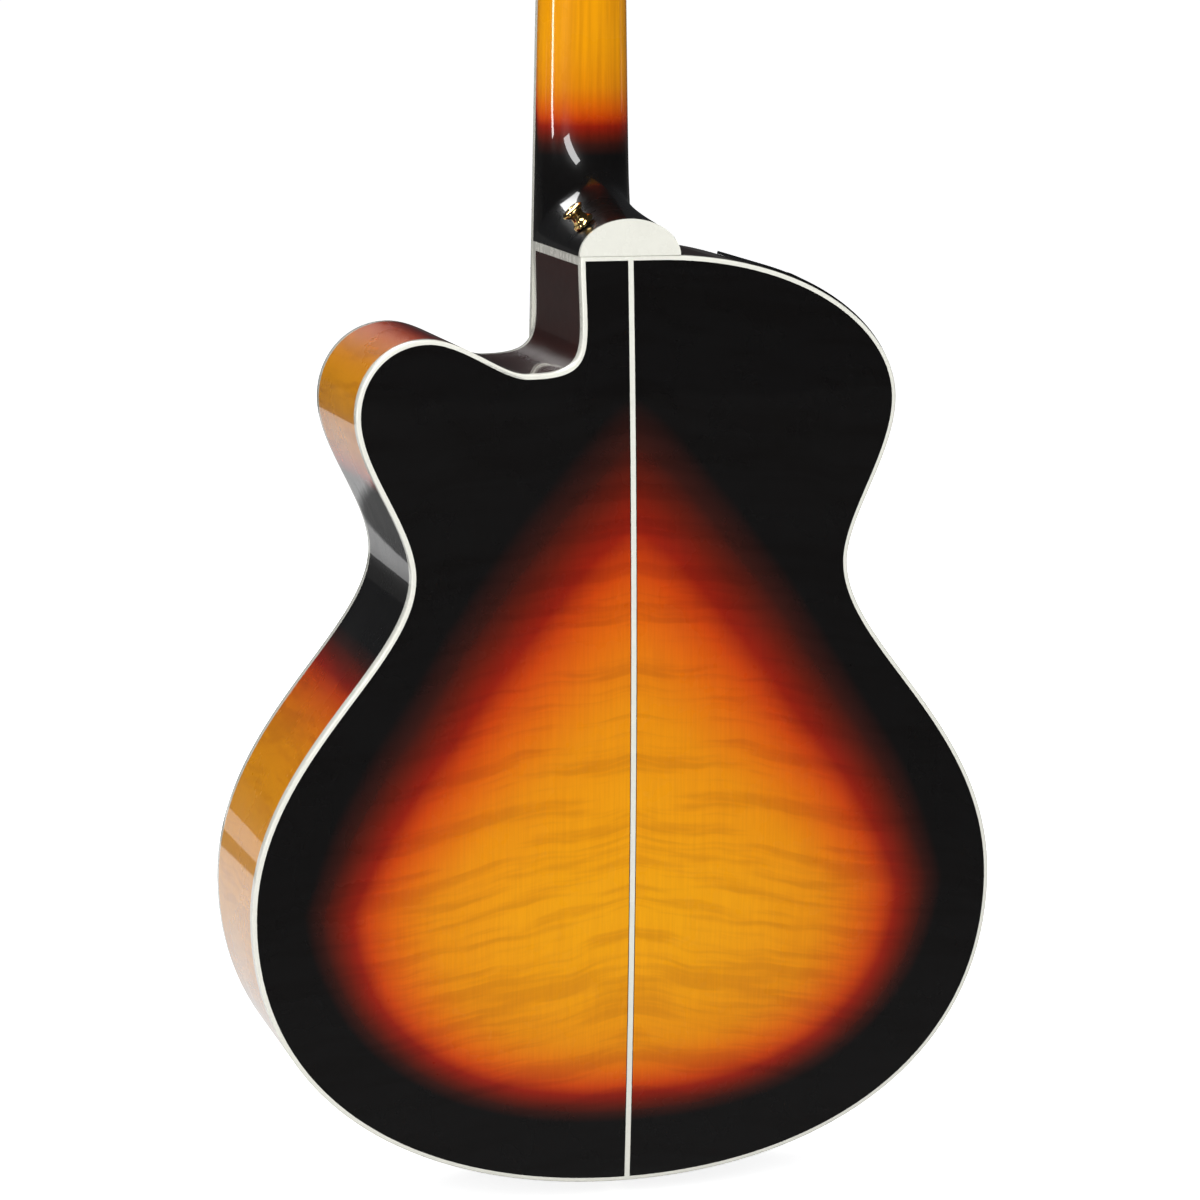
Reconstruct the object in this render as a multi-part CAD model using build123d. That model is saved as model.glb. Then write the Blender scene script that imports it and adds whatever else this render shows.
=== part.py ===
from build123d import *
import math
import os

# Acoustic-electric jumbo guitar with a rounded cutaway.
# Frame: origin on the nut line at the middle of the neck, in the plane of the soundboard.
# +Z runs up the neck to the headstock, +Y towards the back, +X towards the treble side.

# ---------------------------------------------------------------- scale and body
SCALE = 644.0
JOINT_FRET = 14
FRET_COUNT = 20
RIB_T = 2.6
TOP_T = 2.8
BACK_T = 3.0
BINDING_W = 2.5
BINDING_H = 6.5
LINING_W = 6.0
LINING_H = 14.0
PURFLING_W = 1.5
PURFLING_T = 1.0
STRIP_HALF = 1.9
GRAFT_HALF = 9.0
GRAFT_T = 2.0
DOME_R = 3412.0
DOME_APEX_Y = 116.5
DOME_APEX_Z = -641.5
FIT = 0.05
GAP = 0.35

# Key points of the body outline (x, z below the top of the body) with the way the edge leaves
# them, clockwise from the treble side of the neck joint.
OUTLINE_KEYS = [
    ((28.0, 0.0), (0, -1)),
    ((58.0, -63.0), (1, 0)),
    ((113.0, -43.0), (1, 0)),
    ((153.0, -85.0), (0, -1)),
    ((124.0, -171.5), (0, -1)),
    ((212.5, -357.5), (0, -1)),
    ((0.0, -520.5), (-1, 0)),
    ((-212.5, -357.5), (0, 1)),
    ((-124.0, -171.5), (0, 1)),
    ((-153.0, -80.5), (0, 1)),
    ((-15.5, 0.0), (1, 0)),
]
# Length of the leaving and of the arriving handle of each stretch between two key points.
OUTLINE_HANDLES = [
    (52.0, 37.5), (14.5, 20.0), (23.0, 23.5), (29.0, 27.5), (48.0, 89.0),
    (107.0, 118.0), (118.0, 107.0), (89.0, 48.0), (25.5, 31.5), (40.5, 83.0),
]
SHOULDER = 9
STEPS = 10

# ---------------------------------------------------------------- soundboard and bridge
HOLE_Z = -500.0
HOLE_R = 50.0
ROSETTE_R = 56.0
ROSETTE_W = 7.0
ROSETTE_T = 1.0
BRACE_W = 8.0
BRACE_H = 13.0
BRIDGE_Z = -654.0
BRIDGE_L = 152.0
BRIDGE_W = 34.0
BRIDGE_T = 8.5
SADDLE_Z = -646.5
SADDLE_L = 74.0
SADDLE_T = 3.0
SADDLE_TOP = 11.3
SADDLE_FOOT = 4.5
PIN_Z = -662.0
PIN_R = 2.4
PIN_HEAD_R = 3.7
PIN_L = 13.6
STRING_SLOT = 3.15
STRING_SLOT_R = 0.8
PLATE_T = 2.4
PICKGUARD_T = 0.9
PICKGUARD = [
    (14, -452.5), (46, -455), (70, -490), (88, -540), (98, -590),
    (84, -612), (60, -600), (38, -572), (16, -560),
]
X_CROSS_Z = HOLE_Z - HOLE_R - 26
X_ANGLE = 49.0

# ---------------------------------------------------------------- neck and fingerboard
NUT_HALF = 21.5
JOINT_HALF = 27.75
BOARD_T = 6.0
BOARD_R = 400.0
BOARD_END = 5.0
BOARD_EDGE = 1.5
NUT_T = 5.0
NUT_TOP = 8.4
SLOT_FLOOR = 7.6
FRET_W = 2.3
FRET_H = 1.1
FRET_INSET = 0.3
HEEL_HALF = 28.5
HEEL_D = 20.0
CAP_T = 1.6
TILT = 14.0
HEAD_T = 14.0
HEAD_L = 178.0
VENEER_T = 2.0
HEAD_SIDE = [(21.8, 8), (23.5, 18), (32, 36), (37.5, 52), (39.0, 90), (40.5, 130), (41.5, 158)]
HEAD_CROWN = [(41.5, 158), (38.5, 170), (22, 172.5), (0, HEAD_L)]
COVER = [(-7.5, 4), (7.5, 4), (9, 12), (5, 30), (0, 37), (-5, 30), (-9, 12)]
TENON_W = 24.0
TENON_L = 18.0
TENON_Y = (7.0, 84.0)
BOLT_R = 3.0
BOLT_Y = (25.0, 62.0)

# ---------------------------------------------------------------- strings and tuners
STRING_R = [0.66, 0.52, 0.40, 0.31, 0.21, 0.16]
NUT_PITCH = 7.2
SADDLE_PITCH = 10.8
TUNER_X = 25.0
TUNER_Y = [48.0, 88.0, 128.0]
POST_R = 3.0
POST_TOP = 14.0
GEAR_R = 5.2
GEAR_T = 3.2
GEAR_TEETH = 16
WORM_R = 2.1
WORM_DROP = GEAR_R + WORM_R + GAP
HOUSING = (18.0, 20.0, 10.0)
WALL = 1.2
SHAFT_R = 1.5
BUTTON_X = 53.0
BUTTON = (11.0, 16.0, 7.0)
BUSH_R = 5.0
WRAP_TURNS = 3

# ---------------------------------------------------------------- electronics
PANEL_T = 1.8
PANEL = (0.13, 0.72)
PANEL_Y = 9.0
MODULE = (0.165, 0.66)
MODULE_Y = (20.0, 86.0)
MODULE_D = 27.0
KNOB_AT = 0.58
KNOB_Y = [33.0, 53.0, 73.0]
KNOB_R = 5.0
KNOB_PROUD = 1.0
KNOB_DEPTH = 5.0
PUSH_AT = 0.46
PUSH_Y = 77.0
PUSH_R = 3.0
DOOR = (0.20, 0.42)
DOOR_Y = (26.0, 80.0)
DOOR_T = 2.6
BATTERY = (48.0, 26.3, 17.0)
BATTERY_TOP = -4.0
JACK_R = 3.2
BUSHING_R = 6.0
JACK_Y = 54.0
HINGE_R = 0.8
# Radius and height above the tail: threaded barrel, flange, strap neck, rim.
JACK_PROFILE = [
    (JACK_R, -32), (BUSHING_R, -32), (BUSHING_R, 0.2), (9.0, 0.2), (9.0, 1.6), (6.2, 3.4),
    (6.2, 6.5), (8.4, 9.2), (8.6, 10.4), (7.4, 11.6), (JACK_R, 11.6),
]
# Radius and height above the heel: foot, strap neck, rounded head.
STRAP_PROFILE = [
    (0, -0.4), (6.5, -0.4), (6.2, 1.2), (3.95, 3.6), (3.95, 6.0),
    (6.4, 8.6), (6.6, 9.6), (5.6, 10.6), (0, 11),
]


def fret_z(number):
    return -SCALE * (1 - 2 ** (-number / 12))


BODY_TOP = fret_z(JOINT_FRET)
BODY_LENGTH = -OUTLINE_KEYS[6][0][1]
BODY_END = BODY_TOP - BODY_LENGTH
BOARD_LOW = fret_z(FRET_COUNT) - BOARD_END
BACK_BRACE_Z = [BODY_TOP - 90, BODY_TOP - 190, BODY_TOP - 300, BODY_TOP - 400]
STRAP_AT = Vector(20.5, 82.0, BODY_TOP + 16.5)
STRAP_WAY = Vector(0.69, 0.0, 0.724)


# ---------------------------------------------------------------- outline helpers
def bezier(span, t):
    """Point and unit inward normal at t of one stretch of the outline."""
    (p0, d0), (p3, d3) = OUTLINE_KEYS[span], OUTLINE_KEYS[span + 1]
    h0, h3 = OUTLINE_HANDLES[span]
    p1 = (p0[0] + h0 * d0[0], p0[1] + h0 * d0[1])
    p2 = (p3[0] - h3 * d3[0], p3[1] - h3 * d3[1])
    point = []
    slope = []
    for i in (0, 1):
        a, b, c, d = p0[i], p1[i], p2[i], p3[i]
        point.append((1 - t) ** 3 * a + 3 * (1 - t) ** 2 * t * b + 3 * (1 - t) * t * t * c + t ** 3 * d)
        slope.append((1 - t) ** 2 * (b - a) + 2 * (1 - t) * t * (c - b) + t * t * (d - c))
    size = math.hypot(*slope)
    return point, (slope[1] / size, -slope[0] / size)


def edge_point(span, t, inset):
    """Point of the outline moved inwards by inset, in the body's frame."""
    (x, z), (nx, nz) = bezier(span, t)
    return Vector(x + nx * inset, 0, z + nz * inset + BODY_TOP)


def corner_t(inset):
    """Where the inset cutaway edge meets the inset top edge of the body."""
    low, high = 0.0, 1.0
    while high - low > 1e-7:
        middle = (low + high) / 2
        if edge_point(0, middle, inset).Z > BODY_TOP - inset:
            low = middle
        else:
            high = middle
    return high


def outline_face(inset):
    """The whole outline, moved inwards by inset, as a face in the XZ plane."""
    start = corner_t(inset) if inset > 0 else 0.0
    places = [(0, start)]
    places += [(0, i / STEPS) for i in range(1, STEPS) if i / STEPS > start + 0.5 / STEPS]
    for span in range(1, len(OUTLINE_HANDLES)):
        places += [(span, i / STEPS) for i in range(STEPS)]
    places.append((len(OUTLINE_HANDLES) - 1, 1.0))
    points = [edge_point(span, t, inset) for span, t in places]
    (nx, nz) = bezier(0, start)[1]
    curve = Spline(*points, tangents=[Vector(-nz, 0, nx), Vector(1, 0, 0)])
    return make_face([curve, Line(points[-1], points[0])])


def slab(inset, low, high):
    """Prism of the outline between two levels of Y."""
    face = Pos(0, low, 0) * outline_face(inset)
    return extrude(face, amount=high - low, dir=(0, 1, 0))


def ring(outer, inner, low, high):
    return slab(outer, low, high) - slab(inner, low - 1, high + 1)


def dome(depth):
    """Ball whose near side is the arched back, lowered by depth."""
    return Pos(0, DOME_APEX_Y - DOME_R, DOME_APEX_Z) * Sphere(DOME_R - depth)


def dome_y(x, z):
    return DOME_APEX_Y - DOME_R + math.sqrt(DOME_R ** 2 - x * x - (z - DOME_APEX_Z) ** 2)


def block(x, y, z):
    """Box from its limits along each axis."""
    size = [b - a for a, b in (x, y, z)]
    middle = [(a + b) / 2 for a, b in (x, y, z)]
    return Pos(*middle) * Box(*size)


def band(t_low, t_high, inner, outer, y_low, y_high):
    """Piece of the bass shoulder between two stations, inner and outer insets."""
    stations = [t_low + (t_high - t_low) * i / 6 for i in range(7)]
    far = [edge_point(SHOULDER, t, inner) for t in stations]
    near = [edge_point(SHOULDER, t, outer) for t in stations]
    edges = [Spline(*far), Line(far[-1], near[-1]), Spline(*near[::-1]), Line(near[0], far[0])]
    face = Pos(0, y_low, 0) * make_face(edges)
    return extrude(face, amount=y_high - y_low, dir=(0, 1, 0))


def shoulder_plane(t, y, inset=0.0):
    """Plane on the shoulder, its Z outwards and its X along Y of the body."""
    (nx, nz) = bezier(SHOULDER, t)[1]
    place = edge_point(SHOULDER, t, inset)
    return Plane(origin=(place.X, y, place.Z), x_dir=(0, 1, 0), z_dir=(-nx, 0, -nz))


def rod(start, end, radius):
    """Round bar between two points."""
    start, end = Vector(*start), Vector(*end)
    way = end - start
    return Plane(origin=start, z_dir=way) * Cylinder(
        radius, way.length, align=(Align.CENTER, Align.CENTER, Align.MIN))


def joined(parts):
    whole = parts[0]
    for piece in parts[1:]:
        whole = whole + piece
    return whole


def several(parts):
    return Compound(children=[solid for piece in parts for solid in piece.solids()])


nodes = {}

# ---------------------------------------------------------------- soft curved tools
outer_ball = dome(0)
plate_ball = dome(BACK_T)
edge_ball = dome(BINDING_H)
lining_ball = dome(BACK_T + LINING_H)
FAR_Y = DOME_APEX_Y + 10

# ---------------------------------------------------------------- neck
HEEL_END_Y = dome_y(0, BODY_TOP + HEEL_D) - CAP_T
NECK_BACK = [
    # ridge y, ridge z, base y, base z, half width, roundness
    (15.5, -20.0, 0.0, -20.0, None, 2.2),
    (16.6, -110.0, 0.0, -110.0, None, 2.2),
    (18.0, -200.0, 0.0, -200.0, None, 2.2),
    (19.0, -265.0, 0.0, -265.0, None, 2.2),
    (19.8, -288.0, 0.0, -294.0, None, 2.2),
    (22.0, -303.0, 0.0, -320.0, None, 2.15),
    (27.5, -314.0, 0.0, -342.0, None, 2.1),
    (37.0, -322.5, 0.0, BODY_TOP, JOINT_HALF, 2.0),
    (53.0, -329.0, 22.0, BODY_TOP, 27.9, 2.0),
    (75.0, -333.5, 58.0, BODY_TOP, 28.2, 2.0),
    (HEEL_END_Y, BODY_TOP + HEEL_D, HEEL_END_Y, BODY_TOP, HEEL_HALF, 2.0),
]
OVERSHOOT = 9.0


def board_half(z):
    return NUT_HALF + (JOINT_HALF - NUT_HALF) * z / BODY_TOP


def round_section(ridge, base, half, power):
    """Half super-ellipse standing on the base point, closed by a line below it."""
    ridge, base = Vector(0, *ridge), Vector(0, *base)
    height = (ridge - base).length
    up = (ridge - base) * (1 / height)
    side = Vector(1, 0, 0)
    arc = []
    for i in range(17):
        angle = math.pi * i / 16
        across = math.copysign(abs(math.cos(angle)) ** (2 / power), math.cos(angle))
        rise = abs(math.sin(angle)) ** (2 / power)
        arc.append(base + side * (half * across) + up * (height * rise))
    arc[0] = base + side * half
    arc[-1] = base - side * half
    right = arc[0] - up * OVERSHOOT
    left = arc[-1] - up * OVERSHOOT
    return Wire([
        Line(right, arc[0]).edge(),
        Spline(*arc, tangents=[up, up * -1]).edge(),
        Line(arc[-1], left).edge(),
        Line(left, right).edge(),
    ])


head_plane = Plane(
    origin=(0, 0, NUT_T), x_dir=(1, 0, 0),
    z_dir=(0, -math.cos(math.radians(TILT)), math.sin(math.radians(TILT))))


def on_head(x, y, z):
    """Point given across, up and out of the headstock's front wood face."""
    return head_plane.from_local_coords(Vector(x, y, z))


def head_face(inset=0.0):
    """Front outline of the headstock in its own plane."""
    side = [(x - inset, y) for x, y in HEAD_SIDE]
    crown = [(max(x - inset, 0), y - inset) for x, y in HEAD_CROWN]
    crown[0] = side[-1]
    right = Spline(*side, tangents=[(0, 1), (0.03, 1)])
    left = Spline(*[(-x, y) for x, y in side], tangents=[(0, 1), (-0.03, 1)])
    top = Spline(*crown, tangents=[(0, 1), (-1, 0.45)])
    top_left = Spline(*[(-x, y) for x, y in crown], tangents=[(0, 1), (1, 0.45)])
    bottom = Line((-side[0][0], side[0][1]), side[0])
    return make_face([bottom, right, top, top_left, left])


def head_prism(low, high, inset=0.0):
    return extrude(head_plane * Pos(0, 0, low) * head_face(inset), amount=high - low, dir=head_plane.z_dir)


def head_section(y, half, depth, power):
    base = on_head(0, y, 0)
    ridge = on_head(0, y, -depth)
    return round_section((ridge.Y, ridge.Z), (base.Y, base.Z), half, power)


def catmull(values, t):
    """Smooth value between the middle two of four."""
    a, b, c, d = values
    return b + t / 2 * (c - a + t * (2 * a - 5 * b + 4 * c - d + t * (3 * (b - c) + d - a)))


HEEL_FROM = 3
HEEL_STEPS = 4
sections = [
    head_section(26.0, 26.0, HEAD_T, 9.0),
    head_section(14.0, 22.6, HEAD_T + 0.2, 5.0),
    head_section(2.0, NUT_HALF, HEAD_T + 1.0, 2.8),
]
rows = [row[:4] + (board_half(row[3]) if row[4] is None else row[4], row[5]) for row in NECK_BACK]
for i, row in enumerate(rows[:-1]):
    before, after = rows[max(i - 1, 0)], rows[i + 1]
    beyond = rows[min(i + 2, len(rows) - 1)]
    for t in (j / HEEL_STEPS for j in range(HEEL_STEPS if i >= HEEL_FROM else 1)):
        smooth = [catmull(values, t) for values in zip(before, row, after, beyond)]
        smooth[3] = max(smooth[3], BODY_TOP)
        sections.append(round_section(smooth[0:2], smooth[2:4], smooth[4], smooth[5]))
sections.append(round_section(rows[-1][0:2], rows[-1][2:4], rows[-1][4], rows[-1][5]))
neck = Solid.make_loft(sections, ruled=True)
neck = neck - block((-60, 60), (-60, 0), (-500, 60))
neck = neck - block((-60, 60), (-60, 200), (-500, BODY_TOP))
neck = neck - head_plane * Pos(0, 0, 30) * Box(120, 500, 60)
head_core = head_prism(-HEAD_T, 0) & head_plane * Pos(0, 120, 0) * Box(120, 190, 60)
neck = neck + head_core
neck = neck + block((-TENON_W / 2, TENON_W / 2), TENON_Y, (BODY_TOP - TENON_L, BODY_TOP + 2))

rod_channel = block((-3.1, 3.1), (-1, 9.1), (BODY_TOP + 12, -4)) + rod((0, 4.8, -8), (0, 4.8, 6), 2.45)
rod_pocket = head_plane * Pos(0, 9, 0) * Box(9, 30, 14)
neck = neck - rod_channel - rod_pocket
nodes["truss_rod"] = block((-3, 3), (0.6, 9), (BODY_TOP + 12.5, -4.5)) + rod(
    (0, 4.8, -5), (0, 4.8, 2), 2.4)

bolts = []
for y in BOLT_Y:
    shank = rod((0, y, BODY_TOP - 58), (0, y, BODY_TOP + 10), BOLT_R)
    head = rod((0, y, BODY_TOP - 62), (0, y, BODY_TOP - 58), BOLT_R * 2)
    neck = neck - rod((0, y, BODY_TOP - 60), (0, y, BODY_TOP + 11), BOLT_R + FIT)
    bolts.append(shank + head)

# ---------------------------------------------------------------- heel cap and strap button
cap_profile = Ellipse(HEEL_HALF, HEEL_D)
cap_plane = Plane(origin=(0, HEEL_END_Y, BODY_TOP), x_dir=(1, 0, 0), z_dir=(0, 1, 0))
cap_prism = extrude(cap_plane * cap_profile, amount=FAR_Y - HEEL_END_Y)
cap_prism = cap_prism & block((-40, 40), (80, 130), (BODY_TOP, BODY_TOP + 40))
nodes["heel_cap"] = cap_prism & outer_ball

strap_plane = Plane(origin=STRAP_AT, x_dir=(0, 1, 0), z_dir=STRAP_WAY)


def turned(profile):
    """Solid of revolution about local Z from (radius, height) points."""
    face = make_face([Polyline(*[(r, 0, h) for r, h in profile], close=True)])
    return revolve(face, axis=Axis.Z)


strap_button = turned(STRAP_PROFILE)
strap_screw = rod((0, 0, -14), (0, 0, 0), 1.6)
seat = strap_plane * Pos(0, 0, -0.4) * Cylinder(6.6, 12, align=(Align.CENTER, Align.CENTER, Align.MIN))
neck = neck - seat - strap_plane * rod((0, 0, -14.2), (0, 0, 1), 1.6)
nodes["strap_button_heel"] = strap_plane * (strap_button + strap_screw)

# ---------------------------------------------------------------- fingerboard
board_outline = [
    (-board_half(0), 0), (board_half(0), 0),
    (board_half(BOARD_LOW), BOARD_LOW), (-board_half(BOARD_LOW), BOARD_LOW),
]


def board_prism(inset, low_end, depth):
    """Tapered plate under the strings with its sides moved in by inset."""
    points = []
    for x, z in board_outline:
        points.append((x - math.copysign(inset, x), 0, max(z, BOARD_LOW + low_end)))
    face = make_face([Polyline(*points, close=True)])
    return extrude(face, amount=depth, dir=(0, -1, 0))


board_round = Pos(0, BOARD_R - BOARD_T, -240) * Cylinder(BOARD_R, 700)
board_full = board_prism(0, 0, 10) & board_round
board_core_tool = board_prism(BOARD_EDGE, BOARD_EDGE, 10)
fingerboard = board_full & board_core_tool
nodes["fingerboard_binding"] = board_full - board_core_tool

dots = []
for number in (3, 5, 7, 9, 12, 15, 17, 19):
    z = (fret_z(number) + fret_z(number - 1)) / 2
    xs = (-9, 9) if number == 12 else (0,)
    for x in xs:
        dot_tool = rod((x, -8, z), (x, -BOARD_T + 1.4, z), 3.0)
        dots.append(dot_tool & board_round)
        fingerboard = fingerboard - dot_tool
nodes["fingerboard"] = fingerboard
nodes["fret_markers"] = several(dots)

frets = []
for number in range(1, FRET_COUNT + 1):
    z = fret_z(number)
    reach = board_half(z) - FRET_INSET
    half_turn = math.degrees(math.asin(reach / BOARD_R))
    crown = make_face([
        Line((0, -BOARD_T, z - FRET_W / 2), (0, -BOARD_T, z + FRET_W / 2)),
        ThreePointArc(
            (0, -BOARD_T, z + FRET_W / 2), (0, -BOARD_T - FRET_H, z), (0, -BOARD_T, z - FRET_W / 2)),
    ])
    axis = Axis((0, BOARD_R - BOARD_T, 0), (0, 0, 1))
    frets.append(revolve(crown.rotate(axis, -half_turn), axis=axis, revolution_arc=2 * half_turn))
nodes["frets"] = several(frets)

# ---------------------------------------------------------------- nut, veneer, truss cover
def string_x(number, pitch):
    return (number - 2.5) * pitch


nut = block((-NUT_HALF, NUT_HALF), (-NUT_TOP, 0), (0, NUT_T))
for i, radius in enumerate(STRING_R):
    x = string_x(i, NUT_PITCH)
    nut = nut - block((x - radius - FIT, x + radius + FIT), (-12, -SLOT_FLOOR + 0.02), (-1, 12))
nodes["nut"] = nut

veneer = head_prism(0, VENEER_T) & head_plane * Pos(0, 100, 0) * Box(120, 200, 60)
skirt_line = Polyline((-NUT_HALF, -3), (NUT_HALF, -3), (21.8, 8.2), (-21.8, 8.2), close=True)
skirt = extrude(head_plane * make_face([skirt_line]), amount=VENEER_T, dir=head_plane.z_dir)
veneer = (veneer + skirt) - block((-40, 40), (-40, 40), (-40, NUT_T)) - rod_pocket
cover = extrude(head_plane * Pos(0, 0, VENEER_T) * make_face([Polyline(*COVER, close=True)]), amount=1.5,
                dir=head_plane.z_dir)
cover_screws = []
for x, y in ((0, 32.0), (-6.5, 7.5), (6.5, 7.5)):
    hole = rod(on_head(x, y, -4), on_head(x, y, 6), 0.9)
    cover = cover - hole
    veneer = veneer - hole
    neck = neck - rod(on_head(x, y, -4.2), on_head(x, y, 6), 0.9)
    screw = rod(on_head(x, y, -4), on_head(x, y, VENEER_T + 1.5), 0.9)
    cover_screws.append(screw + rod(on_head(x, y, VENEER_T + 1.5), on_head(x, y, VENEER_T + 2.1), 1.5))
nodes["truss_rod_cover"] = cover

# ---------------------------------------------------------------- tuners
housings = []
bushings = []
tuner_screws = []
housing_low = -HEAD_T - HOUSING[2]


def gear():
    """Worm wheel: round blank with straight notches."""
    blank = Cylinder(GEAR_R, GEAR_T)
    notch = Pos(GEAR_R, 0, 0) * Box(1.6, 0.9, GEAR_T + 1)
    for i in range(GEAR_TEETH):
        blank = blank - Rot(0, 0, 360 / GEAR_TEETH * i) * notch
    return blank


wheel = gear()
gear_mid = housing_low + WALL + GAP + WORM_R
for i in range(6):
    side = -1 if i < 3 else 1
    row = i if i < 3 else 5 - i
    x, y = side * TUNER_X, TUNER_Y[row]
    worm_y = y - WORM_DROP
    case_y = (y + worm_y) / 2 + 1.55
    place = head_plane * Pos(x, y, 0)
    shaft_hole = rod(on_head(x, y, -HEAD_T - 0.1), on_head(x, y, VENEER_T + 1), BUSH_R)
    neck = neck - shaft_hole
    veneer = veneer - shaft_hole
    bush = rod((0, 0, -HEAD_T), (0, 0, VENEER_T + 1.6), BUSH_R - FIT)
    flange = rod((0, 0, VENEER_T), (0, 0, VENEER_T + 1.6), BUSH_R + 2.2)
    bushings.append(place * (bush + flange - rod((0, 0, -30), (0, 0, 10), POST_R + FIT)))
    post = rod((0, 0, gear_mid - GEAR_T / 2), (0, 0, POST_TOP), POST_R)
    post = post - rod((-6, 0, POST_TOP - 3.2), (6, 0, POST_TOP - 3.2), 0.9)
    nodes[f"tuner_post_{i + 1}"] = place * (post + Pos(0, 0, gear_mid) * wheel)
    case = Pos(0, 0, -HEAD_T - HOUSING[2] / 2) * Box(*HOUSING)
    case = fillet(case.edges().filter_by(Axis.Z), 3.0)
    case = fillet(case.faces().sort_by(Axis.Z)[0].edges(), 1.2)
    cavity = Pos(0, 0, -HEAD_T - (HOUSING[2] - WALL) / 2) * Box(
        HOUSING[0] - 2 * WALL, HOUSING[1] - 2 * WALL, HOUSING[2] - WALL)
    tab = Pos(0, -HOUSING[1] / 2 - 2.5, -HEAD_T - 0.8) * Box(8, 8, 1.6)
    screw_at = (0, -HOUSING[1] / 2 - 4.0)
    tab = tab - rod((*screw_at, -40), (*screw_at, 0), 1.1)
    case_place = head_plane * Pos(x, case_y, 0)
    bore = rod(on_head(x, worm_y, gear_mid), on_head(x + side * 40, worm_y, gear_mid), SHAFT_R + FIT)
    housings.append(case_place * (case - cavity + (tab - Box(30, HOUSING[1] - 1, 60))) - bore)
    tuner_screws.append(case_place * (
        rod((*screw_at, -HEAD_T - 1.6), (*screw_at, -HEAD_T + 6), 1.1)
        + rod((*screw_at, -HEAD_T - 2.8), (*screw_at, -HEAD_T - 1.6), 2.0)))
    neck = neck - case_place * rod((*screw_at, -HEAD_T - 1), (*screw_at, -HEAD_T + 6.1), 1.1)
    start = x - side * (HOUSING[0] / 2 - WALL - GAP)
    worm = rod(on_head(x - side * 4, worm_y, gear_mid), on_head(x + side * 4, worm_y, gear_mid), WORM_R)
    shaft = rod(on_head(start, worm_y, gear_mid), on_head(side * (BUTTON_X - 2), worm_y, gear_mid), SHAFT_R)
    button = fillet(Box(*BUTTON).edges(), 3.0)
    collar_ends = [on_head(side * (BUTTON_X - reach), worm_y, gear_mid) for reach in (9, 4)]
    collar = rod(*collar_ends, 2.6)
    nodes[f"tuner_button_{i + 1}"] = (
        worm + shaft + collar + head_plane * Pos(side * BUTTON_X, worm_y, gear_mid) * button)
nodes["tuner_housings"] = several(housings)
nodes["tuner_bushings"] = several(bushings)
nodes["headstock_screws"] = several(tuner_screws + cover_screws)
nodes["headstock_veneer"] = veneer
nodes["neck"] = neck

# ---------------------------------------------------------------- strings
strings = []
for i, radius in enumerate(STRING_R):
    side = -1 if i < 3 else 1
    row = i if i < 3 else 5 - i
    nut_x, saddle_x = string_x(i, NUT_PITCH), string_x(i, SADDLE_PITCH)
    turn_r = POST_R + FIT + radius
    post_x = side * (TUNER_X - turn_r)
    wrap_low = VENEER_T + 2.2 + radius
    wrap = [(POST_R + FIT, wrap_low - radius)]
    for turn in range(WRAP_TURNS):
        middle = wrap_low + turn * 2 * radius
        for step in range(7):
            angle = -math.pi / 2 + math.pi * step / 6
            out = POST_R + FIT + radius + radius * math.cos(angle)
            wrap.append((out, middle + radius * math.sin(angle)))
    wrap.append((POST_R + FIT, wrap_low + (2 * WRAP_TURNS - 1) * radius))
    tidy = []
    for point in wrap:
        if not tidy or math.dist(tidy[-1], point) > 1e-6:
            tidy.append(point)
    coil = revolve(make_face([Polyline(*[(r, 0, h) for r, h in tidy], close=True)]), axis=Axis.Z)
    coil = head_plane * Pos(side * TUNER_X, TUNER_Y[row], 0) * coil
    nodes[f"tuner_post_{i + 1}"] = several([nodes[f"tuner_post_{i + 1}"], coil])
    nut_y = -SLOT_FLOOR - radius
    arrive = on_head(post_x - side * (2 * radius + GAP), TUNER_Y[row] - 0.8, wrap_low + 2 * radius)
    route = [
        (saddle_x, 5.6, PIN_Z + STRING_SLOT),
        (saddle_x, -BRIDGE_T - 1.2, PIN_Z + STRING_SLOT),
        (saddle_x, -SADDLE_TOP - radius, SADDLE_Z - 1.0),
        (saddle_x, -SADDLE_TOP - radius, SADDLE_Z + 1.0),
        (nut_x, nut_y, 0.2),
        (nut_x, nut_y, NUT_T - 0.2),
        (arrive.X, arrive.Y, arrive.Z),
    ]
    runs = [rod(a, b, radius) for a, b in zip(route, route[1:])]
    bends = [Pos(*point) * Sphere(radius * 1.001) for point in route[1:-1]]
    whole = joined(runs + bends)
    ball_end = rod((saddle_x, 5.3, PIN_Z + STRING_SLOT), (saddle_x, 8.6, PIN_Z + STRING_SLOT), 1.7)
    strings.append(whole + ball_end)
nodes["strings"] = several(strings)

# ---------------------------------------------------------------- soundboard group
soundboard = slab(BINDING_W, 0, TOP_T)
hole = rod((0, -5, HOLE_Z), (0, 10, HOLE_Z), HOLE_R)
purfling = ring(BINDING_W, BINDING_W + PURFLING_W, 0, PURFLING_T)
rosette = rod((0, 0, HOLE_Z), (0, ROSETTE_T, HOLE_Z), ROSETTE_R + ROSETTE_W / 2) - rod(
    (0, -1, HOLE_Z), (0, 3, HOLE_Z), ROSETTE_R - ROSETTE_W / 2)
purfling = purfling - block((-JOINT_HALF, JOINT_HALF), (-10, 10), (BODY_TOP - 20, BODY_TOP + 10))
soundboard = soundboard - hole - purfling - rosette


def pin_holes(shape):
    for i in range(6):
        x = string_x(i, SADDLE_PITCH)
        shape = shape - rod((x, -20, PIN_Z), (x, 20, PIN_Z), PIN_R + FIT)
        slot_z = PIN_Z + STRING_SLOT
        shape = shape - rod((x, -20, slot_z), (x, 20, slot_z), STRING_SLOT_R)
    return shape


nodes["soundboard"] = pin_holes(soundboard)
nodes["top_inlays"] = several([purfling, rosette])

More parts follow.
